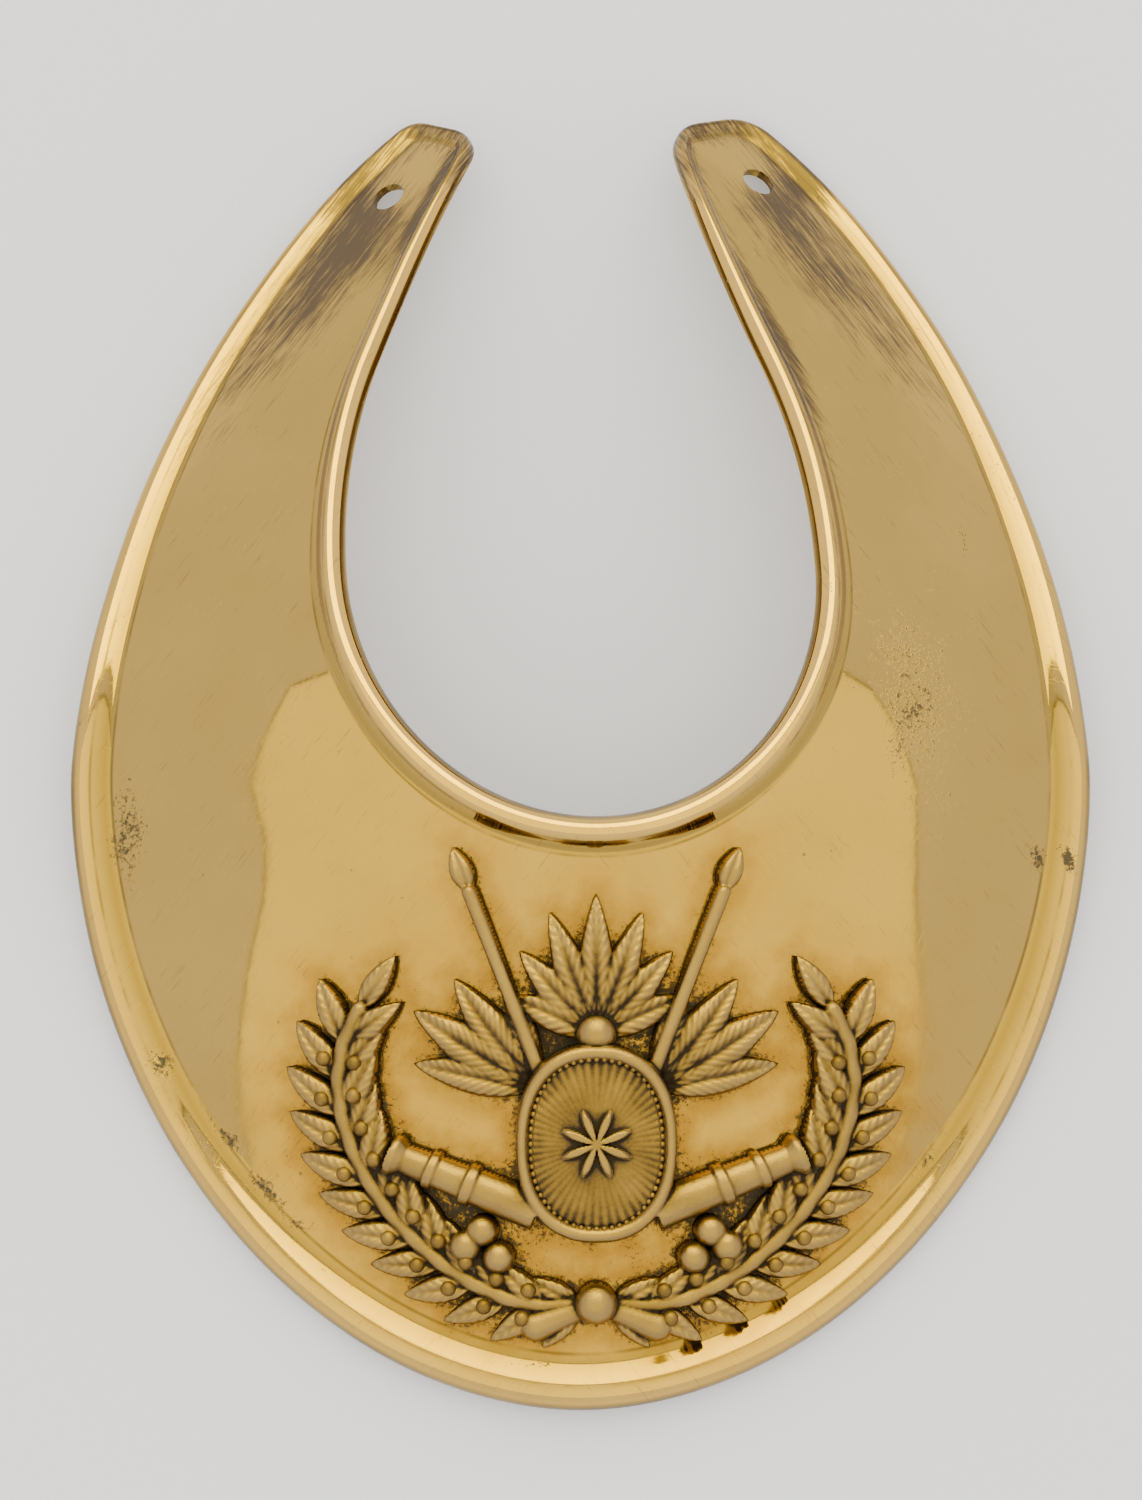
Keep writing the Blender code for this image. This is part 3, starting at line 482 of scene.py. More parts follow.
KNOT, LOOP_START, LOOP_END = (0.0, -0.634), (0.045, -0.650), (0.234, -0.725)
SPRAY_PAIRS, LEAF_SPREAD = 12, 38.0
SPRAY_VEINS, CREST_VEINS, SPEAR_VEINS, FROND_VEINS = 0.0011, 0.0012, 0.0040, 0.0010
LEAF_CROWN, LEAF_GROOVE, VEIN_HEIGHT = 0.30, 0.10, 0.00022
RAYS, RAY_HEIGHT = 56.0, 0.00006
STAR_POINTS, STAR_REACH, STAR_SLOPE = 8.0, 0.46, 0.0006
SPRAY = (
    # along X, along Y, leaf size, in shares of the badge's half width
    (0.06, -0.64, 0.78),
    (0.34, -0.62, 0.90),
    (0.61, -0.47, 1.00),
    (0.82, -0.25, 1.00),
    (0.96, 0.01, 1.00),
    (1.00, 0.28, 0.96),
    (0.92, 0.52, 0.85),
)
BARREL = (
    # share of the length, share of the radius
    (0.00, 1.15),
    (0.42, 1.05),
    (0.43, 1.22),
    (0.49, 1.22),
    (0.50, 1.00),
    (0.68, 0.94),
    (0.69, 1.10),
    (0.74, 1.10),
    (0.75, 0.90),
    (0.90, 0.85),
    (0.96, 1.20),
    (1.00, 1.15),
)
FRONDS = ((14.0, 0.74), (37.0, 0.94), (58.0, 1.00), (79.0, 0.86))
CREST_LEAVES = ((0.0, 1.0), (21.0, 0.93), (43.0, 0.80), (66.0, 0.64))


# %% Elements of the relief
def bar(x, y, start, end, start_radius, end_radius, base):
    along = (end[0] - start[0], end[1] - start[1])
    square = along[0] ** 2 + along[1] ** 2
    share = unit(((x - start[0]) * along[0] + (y - start[1]) * along[1]) / square)
    away = np.hypot(x - start[0] - share * along[0], y - start[1] - share * along[1])
    radius = start_radius + share * (end_radius - start_radius)
    return away - radius, base + radius * rounded(away / radius)


def leaf(x, y, root, angle, length, width, base, veins):
    """A crowned leaf with a grooved midrib and side veins that run forward from it."""
    turn = math.radians(angle)
    along = (x - root[0]) * math.cos(turn) + (y - root[1]) * math.sin(turn)
    across = np.abs((y - root[1]) * math.cos(turn) - (x - root[0]) * math.sin(turn))
    share = unit(along / length)
    half = width / 2.0 * np.sin(math.pi * share**0.85) ** 0.8
    cover = np.maximum(across - half, np.maximum(-along, along - length))
    side = unit(across / np.maximum(half, 1e-6))
    crown = rounded(side) * np.sin(math.pi * np.clip(share, 0.05, 0.95))
    groove = np.exp(-((across / (0.12 * width)) ** 2))
    vein = np.sin(2.0 * math.pi * (along - 1.3 * across) / veins) * side * (1.0 - side)
    return cover, base + LEAF_CROWN * width * crown - LEAF_GROOVE * width * groove + VEIN_HEIGHT * vein


def ball(x, y, centre, radius, base):
    away = np.hypot(x - centre[0], y - centre[1])
    return away - radius, base + radius * rounded(away / radius)


def cartouche(x, y):
    """A rolled border round a crowned field, chased with rays that spread from a raised star."""
    power = CARTOUCHE_POWER
    radius = (
        np.abs(x / CARTOUCHE_HALF_WIDTH) ** power + np.abs(y / CARTOUCHE_HALF_HEIGHT) ** power
    ) ** (1.0 / power)
    inside = (1.0 - radius) * CARTOUCHE_HALF_WIDTH
    across = unit(inside / CARTOUCHE_BORDER)
    border = CARTOUCHE_RISE + CARTOUCHE_BORDER * (0.9 * rounded(2.0 * across - 1.0) - 0.2)
    angle = np.arctan2(y, x)
    rays = RAY_HEIGHT * np.cos(RAYS * angle) * unit(radius * 1.6 - 0.5)
    crown = CARTOUCHE_RISE + CARTOUCHE_CROWN * unit(1.0 - radius**2) + rays
    reach = STAR_REACH * CARTOUCHE_HALF_WIDTH * (0.62 + 0.38 * np.cos(STAR_POINTS * angle + math.pi))
    star = unit((reach - np.hypot(x, y)) / STAR_SLOPE)
    return -inside, np.where(across < 1.0, border, crown) + STAR_RISE * star**0.6


def gun(x, y):
    breech, muzzle = placed(BREECH), placed(MUZZLE)
    along = (muzzle[0] - breech[0], muzzle[1] - breech[1])
    length = math.hypot(*along)
    share = ((x - breech[0]) * along[0] + (y - breech[1]) * along[1]) / length**2
    away = np.abs((x - breech[0]) * along[1] - (y - breech[1]) * along[0]) / length
    radius = BARREL_RADIUS * np.interp(share, *zip(*BARREL))
    beyond = np.maximum(-share, share - 1.0) * length
    return np.maximum(away - radius, beyond), BADGE_EDGE + radius * rounded(away / radius)


def spray_points(count):
    rows = np.array(SPRAY)
    share = np.linspace(0.0, 1.0, len(rows))
    fine = np.linspace(0.0, 1.0, 25 * len(rows))
    fit = [np.polynomial.Polynomial.fit(share, rows[:, k], 4) for k in range(3)]
    line = np.column_stack([fit[0](fine), fit[1](fine)]) * BADGE_HALF_WIDTH
    length = length_along(line)
    places = np.interp(np.linspace(0.0, length[-1], count), length, fine)
    x, y = fit[0](places) * BADGE_HALF_WIDTH, fit[1](places) * BADGE_HALF_WIDTH
    heading = np.degrees(np.arctan2(fit[1].deriv()(places), fit[0].deriv()(places)))
    return list(zip(x, y, heading, fit[2](places)))


def spray(x, y):
    points = spray_points(SPRAY_PAIRS + 1)
    parts = [
        bar(x, y, start[:2], end[:2], STEM_RADIUS, STEM_RADIUS, BADGE_EDGE)
        for start, end in zip(points[:-1], points[1:])
    ]
    for k, (px, py, heading, size) in enumerate(points):
        length, width = SPRAY_LEAF_LENGTH * size, SPRAY_LEAF_WIDTH * size
        layer = BADGE_EDGE * (1.0 + 0.2 * (k % 2))
        for spread in (LEAF_SPREAD, -LEAF_SPREAD) if k < SPRAY_PAIRS else (0.0,):
            parts.append(leaf(x, y, (px, py), heading + spread, length, width, layer, SPRAY_VEINS))
    return parts


def crest(x, y):
    root = (0.0, CARTOUCHE_HALF_HEIGHT + BADGE_EDGE)
    parts = [ball(x, y, root, CREST_BOSS_RADIUS, 1.4 * BADGE_EDGE)]
    for angle, share in CREST_LEAVES:
        length, layer = CREST_LEAF_LENGTH * share, BADGE_EDGE * (1.0 + 0.6 * share)
        for side in (1.0, -1.0):
            turned = 90.0 - side * angle
            parts.append(leaf(x, y, root, turned, length, CREST_LEAF_WIDTH, layer, CREST_VEINS))
    return parts


def trophy(x, y):
    foot, head = placed(STAFF_FOOT), placed(STAFF_HEAD)
    angle = math.degrees(math.atan2(head[1] - foot[1], head[0] - foot[0]))
    layer = 1.5 * BADGE_EDGE
    parts = [
        gun(x, y),
        bar(x, y, foot, head, STAFF_RADIUS, STAFF_RADIUS, layer),
        leaf(x, y, head, angle, SPEAR_LENGTH, SPEAR_WIDTH, layer, SPEAR_VEINS),
        ball(x, y, placed(KNOT), KNOT_RADIUS, 1.6 * BADGE_EDGE),
        bar(x, y, placed(LOOP_START), placed(LOOP_END), 0.5 * KNOT_RADIUS, 0.75 * KNOT_RADIUS, BADGE_EDGE),
    ]
    root = placed(FROND_ROOT)
    for turn, share in FRONDS:
        length, width = FROND_LENGTH * share, FROND_WIDTH * share
        parts.append(leaf(x, y, root, 90.0 - turn, length, width, BADGE_EDGE, FROND_VEINS))
    return parts + [ball(x, y, placed(centre), BALL_RADIUS, 1.2 * BADGE_EDGE) for centre in BALLS]


def relief(x, y):
    """Distance outside the badge's edge, below 0 inside it, and the height of its face."""
    mirrored = np.abs(x)
    parts = spray(mirrored, y) + trophy(mirrored, y) + crest(mirrored, y) + [cartouche(x, y)]
    cover = np.full(x.shape, 1.0)
    nearest = np.zeros(x.shape)
    over = np.full(x.shape, -1.0)
    for edge, height in parts:
        over = np.where(edge < 0.0, np.maximum(over, height), over)
        nearest = np.where(edge < cover, height, nearest)
        cover = np.minimum(cover, edge)
    return cover, np.where(over > 0.0, over, nearest)


# %% [markdown]
# ## The casting
# The relief is sampled on a fine grid, its rim is moved onto the true edge, and short walls run down to the
# sheet. The walls stop at the sheet, because nothing is seen beneath. A blurred copy of the relief tells
# how deep each place lies below its neighbours: dirt stays in those hollows, and the tops are rubbed clean.

# %% Fine casting
BADGE_STEP, BADGE_REACH, BADGE_GAP = 0.00015, 0.0363, 0.00035
RECESS_BLUR, CREASE_BLUR, CROWD_BLUR = 0.0011, 0.00028, 0.0028
LOWEST_FACE, BORDER_SHARE, LONGEST_MOVE = 0.6 * BADGE_EDGE, 0.86, 0.45 * BADGE_STEP


def blurred(values, radius):
    """Gaussian blur of a grid, by its Fourier transform, with empty cells round it."""
    margin = math.ceil(4.0 * radius / BADGE_STEP)
    wide = np.pad(values, margin)
    rows = np.fft.fftfreq(wide.shape[0], BADGE_STEP)[:, None]
    columns = np.fft.rfftfreq(wide.shape[1], BADGE_STEP)[None, :]
    shape = np.exp(-2.0 * (math.pi * radius) ** 2 * (rows**2 + columns**2))
    result = np.fft.irfft2(np.fft.rfft2(wide) * shape, s=wide.shape)
    return result[margin:-margin, margin:-margin]


def badge_grid():
    line = np.arange(-BADGE_REACH, BADGE_REACH, BADGE_STEP)
    x, y = np.meshgrid(line, line, indexing="ij")
    cover, height = relief(x, y)
    return line, x, y, cover, height


def onto_edge(x, y):
    """Moves points along the slope of the cover onto the badge's edge, by part of a step at most."""
    small = 0.1 * BADGE_STEP
    cover = relief(x, y)[0]
    slope_x = (relief(x + small, y)[0] - relief(x - small, y)[0]) / (2.0 * small)
    slope_y = (relief(x, y + small)[0] - relief(x, y - small)[0]) / (2.0 * small)
    steep = np.sqrt(np.maximum(slope_x**2 + slope_y**2, 0.25))
    move = np.clip(-cover / steep, -LONGEST_MOVE, LONGEST_MOVE)
    return x + move * slope_x / steep, y + move * slope_y / steep


line, grid_x, grid_y, grid_cover, grid_height = badge_grid()
casting_relief = np.where(grid_cover < 0.0, grid_height, 0.0)
recess_grid = blurred(casting_relief, RECESS_BLUR) - casting_relief
crease_grid = blurred(casting_relief, CREASE_BLUR) - casting_relief
crowd_grid = blurred((grid_cover < 0.0).astype(float), CROWD_BLUR)


def store(data, name, values):
    """Keeps a number or a vector for each point of a mesh, for its material to read."""
    kind, key = ("FLOAT", "value") if values.ndim == 1 else ("FLOAT_VECTOR", "vector")
    layer = data.attributes.new(name, kind, "POINT")
    layer.data.foreach_set(key, values.ravel())


def casting_mesh():
    middles = line[:-1] + BADGE_STEP / 2.0
    middle_x, middle_y = np.meshgrid(middles, middles, indexing="ij")
    inside = relief(middle_x, middle_y)[0] < 0.0
    number = np.arange(len(line) ** 2).reshape(len(line), len(line))
    cells = np.column_stack(
        [part[inside] for part in (number[:-1, :-1], number[1:, :-1], number[1:, 1:], number[:-1, 1:])]
    )
    used, faces = np.unique(cells, return_inverse=True)
    faces = faces.reshape(-1, 4)
    x, y = grid_x.ravel()[used], grid_y.ravel()[used]
    edges = np.vstack([faces[:, [k, (k + 1) % 4]] for k in range(4)])
    pairs, counts = np.unique(np.sort(edges, axis=1), axis=0, return_counts=True)
    single = {tuple(pair) for pair in pairs[counts == 1]}
    rim = np.array([edge for edge in edges.tolist() if tuple(sorted(edge)) in single])
    border = np.unique(rim)
    x[border], y[border] = onto_edge(x[border], y[border])
    height = np.maximum(relief(x, y)[1], LOWEST_FACE)
    height[border] *= BORDER_SHARE
    foot = np.full(len(used), -1)
    foot[border] = len(used) + np.arange(len(border))
    walls = np.column_stack([rim[:, 1], rim[:, 0], foot[rim[:, 0]], foot[rim[:, 1]]])
    top = lifted(BADGE_X + x, BADGE_Y + y, BADGE_GAP + height)
    bottom = lifted(BADGE_X + x[border], BADGE_Y + y[border], np.full(len(border), 0.5 * BADGE_GAP))
    data = mesh_from("casting", np.vstack([top, bottom]), np.vstack([faces, walls]))
    for name, grid in (("recess", recess_grid), ("crease", crease_grid)):
        store(data, name, np.concatenate([grid.ravel()[used], np.full(len(border), MM)]) / MM)
    return data


casting_data = casting_mesh()
print("quads of the casting:", len(casting_data.polygons))

# %% [markdown]
# ## Lying on its back
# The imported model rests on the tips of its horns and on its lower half. The fine pieces are turned by the
# same angle and then moved until the sheet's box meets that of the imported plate.

# %% Place both meshes
TILT = Matrix.Rotation(math.radians(REST_TILT), 3, "X")
TURN = np.array(TILT)


def resting_shift():
    turned = coordinates(sheet_mesh) @ TURN.T
    low, high = (np.array(corner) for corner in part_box("gorget_plate"))
    middle = (low + high - turned.min(axis=0) - turned.max(axis=0)) / 2.0
    return np.array([middle[0], middle[1], low[2] - turned[:, 2].min()])


SHIFT = resting_shift()
print("shift of the sheet, mm:", np.round(SHIFT / MM, 2).tolist())


def at_rest(points):
    return points @ TURN.T + SHIFT


def add_piece(name, data, replaced=()):
    item = add_object(name, data)
    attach(item, "root")
    if replaced:
        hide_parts(*replaced)
    return item


def smooth_mesh(data, angle):
    data.polygons.foreach_set("use_smooth", np.ones(len(data.polygons), dtype=bool))
    data.set_sharp_from_angle(angle=math.radians(angle))


# %% [markdown]
# ## Where the years show, and painted shade
# Dirt and wear follow the form. Polish never reached the sheet between the casting's leaves, so black dirt
# lies there and an orange stain spreads round it. Fingers and ribbons bared and darkened the horns near
# their holes. Two marks are painted shade instead: the halo also lays a shade brown right beside the
# casting, and one of the stains is a painted shadow along the bottom cove. The masks are worked out for
# each point and stored on the mesh; the material breaks them up.

# %% Wear and painted shade of the sheet
STAINS_AND_COVE_SHADOW = (
    # along X, along Y, half length, half width, angle, strength, in millimetres and degrees
    (-47.8, -4.6, 2.2, 5.5, 8.0, 0.55),
    (-44.0, -29.5, 1.4, 1.8, 20.0, 0.75),
    (-37.0, -37.0, 2.4, 0.8, -52.0, 0.60),
    (-33.0, -42.5, 2.8, 0.9, -48.0, 0.65),
    (-30.0, -46.0, 1.6, 0.9, -40.0, 0.50),
    (51.5, -7.9, 0.6, 1.8, 15.0, 0.85),
    (48.2, -7.7, 0.9, 1.2, 10.0, 0.80),
    (40.6, 25.4, 0.5, 1.5, 0.0, 0.60),
    (35.5, 8.0, 4.5, 9.5, 8.0, 0.42),
    (36.5, -39.5, 2.2, 0.8, 45.0, 0.45),
    # The next row is no stain but a painted shadow: a dark band along the bottom cove
    (-3.5, -60.5, 3.5, 0.7, 0.0, 0.35),
)
STAIN_AND_SHADOW_STRENGTH, HALO_RADIUS = 1.9, 3.8
LEFT_TARNISH, RIGHT_TARNISH, NECK_TARNISH = 1.45, 1.2, 1.2
# How far the tarnish lies outward of the ribbon hole and below it, and how far it reaches, in millimetres
TARNISH_OUT, TARNISH_DOWN, TARNISH_REACH = 2.3, 3.0, 5.0
TARNISH_LEAN = 0.78
SHEET_SHARP_ANGLE, CASTING_SHARP_ANGLE = 42.0, 65.0
OUTER_ROLL_END, NECK_ROLL_END, OUTER_ROLL_WEAR = 0.46, 0.64, 0.6


def stain_and_shadow_mask(x, y):
    """Soft ellipses where dirt has eaten into the gilding; the last is a painted shadow along the bottom
    cove.
    """
    mask = np.zeros(len(x))
    for centre_x, centre_y, half_x, half_y, angle, strength in STAINS_AND_COVE_SHADOW:
        turn = math.radians(angle)
        dx, dy = x / MM - centre_x, y / MM - centre_y
        along = dx * math.cos(turn) + dy * math.sin(turn)
        across = dy * math.cos(turn) - dx * math.sin(turn)
        mask = np.maximum(mask, strength * np.exp(-((along / half_x) ** 2) - (across / half_y) ** 2))
    return mask


def rim_share(points):
    """Distance from the edge, in metres and in widths of the nearest rim, and if that is the neck's."""
    line, width, _ = plate_outline()
    reach = rim_reach(line, inward_normals(line), width)
    tree = kdtree.KDTree(len(line))
    for number, (px, py) in enumerate(line):
        tree.insert((px, py, 0.0), number)
    tree.balance()
    found = [tree.find((px, py, 0.0)) for px, py in points]
    away = np.array([item[2] for item in found])
    nearest = np.array([item[1] for item in found])
    neck = (nearest > ALONG_STEPS + TIP_POINTS) & (nearest <= 2 * ALONG_STEPS + 1 + TIP_POINTS)
    return away, away / reach[nearest], neck


def from_grid(grid, x, y):
    """Value of one of the badge's grids at places on the plate, and 0 outside it."""
    column = np.rint((x - BADGE_X + BADGE_REACH) / BADGE_STEP).astype(int)
    row = np.rint((y - BADGE_Y + BADGE_REACH) / BADGE_STEP).astype(int)
    size = grid.shape[0]
    inside = (column >= 0) & (column < size) & (row >= 0) & (row < size)
    found = grid[np.clip(column, 0, size - 1), np.clip(row, 0, size - 1)]
    return np.where(inside, found, 0.0)


def horn_tarnish(x, y, hole_x, hole_y, strength):
    """Strongest a little below the ribbon hole, and drawn out down the middle of the horn."""
    side = math.copysign(1.0, hole_x)
    dx = (x - hole_x) / MM - side * TARNISH_OUT
    dy = (y - hole_y) / MM + TARNISH_DOWN
    across = np.abs(dx + side * TARNISH_LEAN * np.minimum(dy, 0.0))
    down = np.hypot(across * 0.80, dy * np.where(dy < 0.0, 0.21, 0.75))
    return strength * np.where(side * x > 0.0, unit(1.15 - down / TARNISH_REACH), 0.0)


def sheet_wear_and_shade(data):
    places = coordinates(data)
    x, y = places[:, 0], places[:, 1]
    cover = unit(relief(x - BADGE_X, y - BADGE_Y)[0]) / MM
    crowd = from_grid(crowd_grid, x, y)
    grime = unit(crowd * 2.2 - 0.75)
    halo = np.exp(-((cover / HALO_RADIUS) ** 2)) + 0.5 * unit(crowd * 2.0)
    away, share, neck = rim_share(places[:, :2])
    left, right = ribbon_hole_places()
    tarnish = horn_tarnish(x, y, *left, LEFT_TARNISH) + horn_tarnish(x, y, *right, RIGHT_TARNISH)
    tarnish += unit((y / MM - 60.0) / 6.0) * unit(1.25 - away / (2.6 * MM))
    # Polish never got under the neck rims of the horns
    at_neck = NECK_TARNISH * np.exp(-(((share - 1.10) / 0.34) ** 2)) * neck
    for on_horn, middle, half in ((x > 0.0, 47.0, 12.0), (x < 0.0, 62.0, 7.0)):
        tarnish += at_neck * np.exp(-(((y / MM - middle) / half) ** 2)) * on_horn
    # The first part also carries the painted shadow along the bottom cove; the halo gives the orange stain
    # and painted shade beside the casting
    wear_and_shade = np.column_stack([grime + STAIN_AND_SHADOW_STRENGTH * stain_and_shadow_mask(x, y), halo, tarnish])
    store(data, "wear_and_shade", np.clip(wear_and_shade, 0.0, 2.0))
    store(data, "place", np.column_stack([x / MM, y / MM, np.clip(share, 0.0, 3.0)]))
    # Hands rub the roll of the rim bright, most of all round the neck
    crest_side = (np.where(neck, NECK_ROLL_END, OUTER_ROLL_END) - share) / 0.12
    roll = unit(np.minimum((share - 0.04) / 0.10, crest_side)) * np.where(neck, 1.0, OUTER_ROLL_WEAR)
    store(data, "rim", np.column_stack([roll, neck, np.zeros(len(x))]))


sheet_wear_and_shade(sheet_mesh)
sheet_mesh.vertices.foreach_set("co", at_rest(coordinates(sheet_mesh)).ravel())
smooth_mesh(sheet_mesh, SHEET_SHARP_ANGLE)
plate = add_piece("gilt_plate", sheet_mesh, ["gorget_plate"])

casting_data.vertices.foreach_set("co", at_rest(coordinates(casting_data)).ravel())
smooth_mesh(casting_data, CASTING_SHARP_ANGLE)
badge = add_piece("cast_badge", casting_data, ["badge"])
print("triangles of both:", [triangles(item.data) for item in (plate, badge)])

# %% [markdown]
# ## Pearls and berries
# A row of pearls was punched round the cartouche's field, and berries sit between the leaves of the laurel.
# They repeat, so one Geometry Nodes tree makes both: a small ball on every point of a guide mesh. Its
# radius and its finish are the tree's inputs. The result is turned into a plain mesh.

# %% Pearls and berries with Geometry Nodes
PEARLS, PEARL_RADIUS = 64, 0.00030
BERRY_RADIUS, BERRY_STEP = 0.00085, 0.0017
BALL_INPUTS = (("Geometry", "Geometry"), ("Radius", "Float"), ("Finish", "Material"))
BALL_STEPS = ("MeshIcoSphere", "InstanceOnPoints", "RealizeInstances", "SetShadeSmooth", "SetMaterial")


def ball_tree():
    """The tree, and the names by which a modifier knows its radius and its finish."""
    tree = bpy.data.node_groups.new("balls_on_points", "GeometryNodeTree")
    _, radius, finish = (
        tree.interface.new_socket(name, in_out="INPUT", socket_type=f"NodeSocket{kind}")
        for name, kind in BALL_INPUTS
    )
    tree.interface.new_socket("Geometry", in_out="OUTPUT", socket_type="NodeSocketGeometry")
    start, end = tree.nodes.new("NodeGroupInput"), tree.nodes.new("NodeGroupOutput")
    form, spread, realize, smooth, paint = (tree.nodes.new(f"GeometryNode{step}") for step in BALL_STEPS)
    form.inputs["Subdivisions"].default_value = 3
    for source, output, target, socket in (
        (start, "Geometry", spread, "Points"),
        (start, "Radius", form, "Radius"),
        (form, "Mesh", spread, "Instance"),
        (spread, "Instances", realize, "Geometry"),
        (realize, "Geometry", smooth, "Geometry"),
        (smooth, "Geometry", paint, "Geometry"),
        (start, "Finish", paint, "Material"),
        (paint, "Geometry", end, "Geometry"),
    ):
        tree.links.new(source.outputs[output], target.inputs[socket])
    return tree, radius.identifier, finish.identifier


def pearl_places():
    """Evenly spaced places round the inner side of the cartouche's border."""
    angle = np.linspace(0.0, 2.0 * math.pi, 2000)
    power = 2.0 / CARTOUCHE_POWER
    inset = CARTOUCHE_BORDER + 0.6 * PEARL_RADIUS
    across = (CARTOUCHE_HALF_WIDTH - inset) * np.sign(np.cos(angle)) * np.abs(np.cos(angle)) ** power
    up = (CARTOUCHE_HALF_HEIGHT - inset) * np.sign(np.sin(angle)) * np.abs(np.sin(angle)) ** power
    return at_shares(np.column_stack([across, up]), np.linspace(0.0, 1.0, PEARLS + 1)[:-1])


def berry_places():
    """One berry on each side of the stem, between a pair of leaves and the next."""
    places = []
    for px, py, heading, size in spray_points(2 * SPRAY_PAIRS + 1)[3:-2:2]:
        for spread in (90.0, -90.0):
            turn, step = math.radians(heading + spread), BERRY_STEP * size
            x, y = px + step * math.cos(turn), py + step * math.sin(turn)
            places += [(x, y), (-x, y)]
    return np.array(places)


def guide_mesh(places):
    """A point on the casting's face for each place that lies on the casting."""
    x, y = places[:, 0], places[:, 1]
    cover, height = relief(x, y)
    keep = cover < 0.0
    points = lifted(BADGE_X + x[keep], BADGE_Y + y[keep], BADGE_GAP + height[keep])
    return mesh_from("guide", at_rest(points), np.empty((0, 3), dtype=int))


def ball_mesh(data, tree, inputs):
    guide = add_object("guide", data)
    modifier = guide.modifiers.new("Balls", "NODES")
    modifier.node_group = tree
    for socket, value in inputs.items():
        modifier[socket] = value
    return plain_result(guide)


# %% [markdown]
# ## Finishes
# Fire gilding is a thin layer of gold over copper: a metal with a warm, slightly green yellow, polished on
# the sheet and left matte on the casting. Each colour is given as it looks in sRGB and turned to linear
# light by one function. Most are a real finish's; on the sheet a few are painted shade and painted dark
# reflections.


# %% Helpers for materials
def linear(code):
    """A colour written as six hexadecimal digits, in linear light."""
    channels = [int(code[k : k + 2], 16) / 255.0 for k in (0, 2, 4)]
    return [c / 12.92 if c <= 0.04045 else ((c + 0.055) / 1.055) ** 2.4 for c in channels] + [1.0]


class Finish:
    """A material and short ways to add its nodes."""

    def __init__(self, name):
        self.material = bpy.data.materials.new(name)
        self.material.use_nodes = True
        self.tree = self.material.node_tree
        self.shader = self.tree.nodes["Principled BSDF"]

    def add(self, kind, inputs=None, **settings):
        """Adds a node; an input's value is a socket to join or a number to set."""
        made = self.tree.nodes.new(kind)
        for key, value in settings.items():
            setattr(made, key, value)
        for key, value in (inputs or {}).items():
            self.set(made.inputs[key], value)
        return made

    def set(self, socket, value):
        if isinstance(value, bpy.types.NodeSocket):
            self.tree.links.new(value, socket)
        else:
            socket.default_value = value

    def math(self, operation, first, second=0.0, clamp=False):
        made = self.add("ShaderNodeMath", {0: first, 1: second}, operation=operation, use_clamp=clamp)
        return made.outputs[0]

    def times(self, first, second, clamp=False):
        return self.math("MULTIPLY", first, second, clamp)

    def plus(self, first, second):
        return self.math("ADD", first, second)

    def most(self, first, second):
        return self.math("MAXIMUM", first, second)

    def mix(self, share, first, second):
        made = self.add("ShaderNodeMix", {0: share, 6: first, 7: second}, data_type="RGBA")
        return made.outputs[2]

    def tint(self, colour, code, mask, strength=1.0):
        """Lays a second colour over the first, as far as the mask and the strength say."""
        share = mask if strength == 1.0 else self.times(mask, strength)
        return self.mix(share, colour, linear(code))

    def span(self, value, low, high, out_low=0.0, out_high=1.0):
        """Maps low..high to out_low..out_high and stops at both ends."""
        ends = {"From Min": low, "From Max": high, "To Min": out_low, "To Max": out_high}
        return self.add("ShaderNodeMapRange", {"Value": value, **ends}).outputs["Result"]

    def noise(self, vector, size, detail=4.0, roughness=0.55):
        """Noise whose largest grains are about `size` metres wide."""
        grains = {"Scale": 1.0 / size, "Detail": detail, "Roughness": roughness}
        return self.add("ShaderNodeTexNoise", {"Vector": vector, **grains}).outputs["Fac"]

    def mapped(self, vector, **change):
        return self.add("ShaderNodeMapping", {"Vector": vector, **change}).outputs["Vector"]

    def stretched(self, vector, scale, angle):
        """The vector turned about Z, so that a line at this angle lies along X, and then scaled."""
        turned = self.mapped(vector, Rotation=(0.0, 0.0, -math.radians(angle)))
        return self.mapped(turned, Scale=scale)

    def bump(self, height, distance, strength, normal=None):
        made = self.add("ShaderNodeBump", {"Height": height, "Distance": distance, "Strength": strength})
        if normal is not None:
            self.set(made.inputs["Normal"], normal)
        return made.outputs["Normal"]

    def parts_of(self, name):
        """X, Y and Z of an attribute on the mesh."""
        attribute = self.add("ShaderNodeAttribute", attribute_name=name)
        split = self.add("ShaderNodeSeparateXYZ", {0: attribute.outputs["Vector"]})
        return attribute.outputs["Vector"], split.outputs["X"], split.outputs["Y"], split.outputs["Z"]

    def space(self):
        return self.add("ShaderNodeTexCoord").outputs["Object"]

    def metal_under(self, dirt):
        """Dirt is no metal, and it hides most of what lies under it."""
        return self.math("SUBTRACT", 1.0, self.times(dirt, 0.85))

    def look(self, inputs):
        """Sets inputs of the shader by name."""
        for name, value in inputs.items():
            self.set(self.shader.inputs[name], value)


# %% [markdown]
# ### Polished gilding
# Fine polishing lines, a faint mottle and scattered specks lie all over. Three masks add what is local:
# dirt, the orange stain and the violet-grey tarnish, which runs down the horns in streaks. Shade and dark
# reflections are painted in as well: a brown beside the casting, a darker gold in the rim's cove, dark
# lines along the rim, and a painted shadow in the bottom cove.


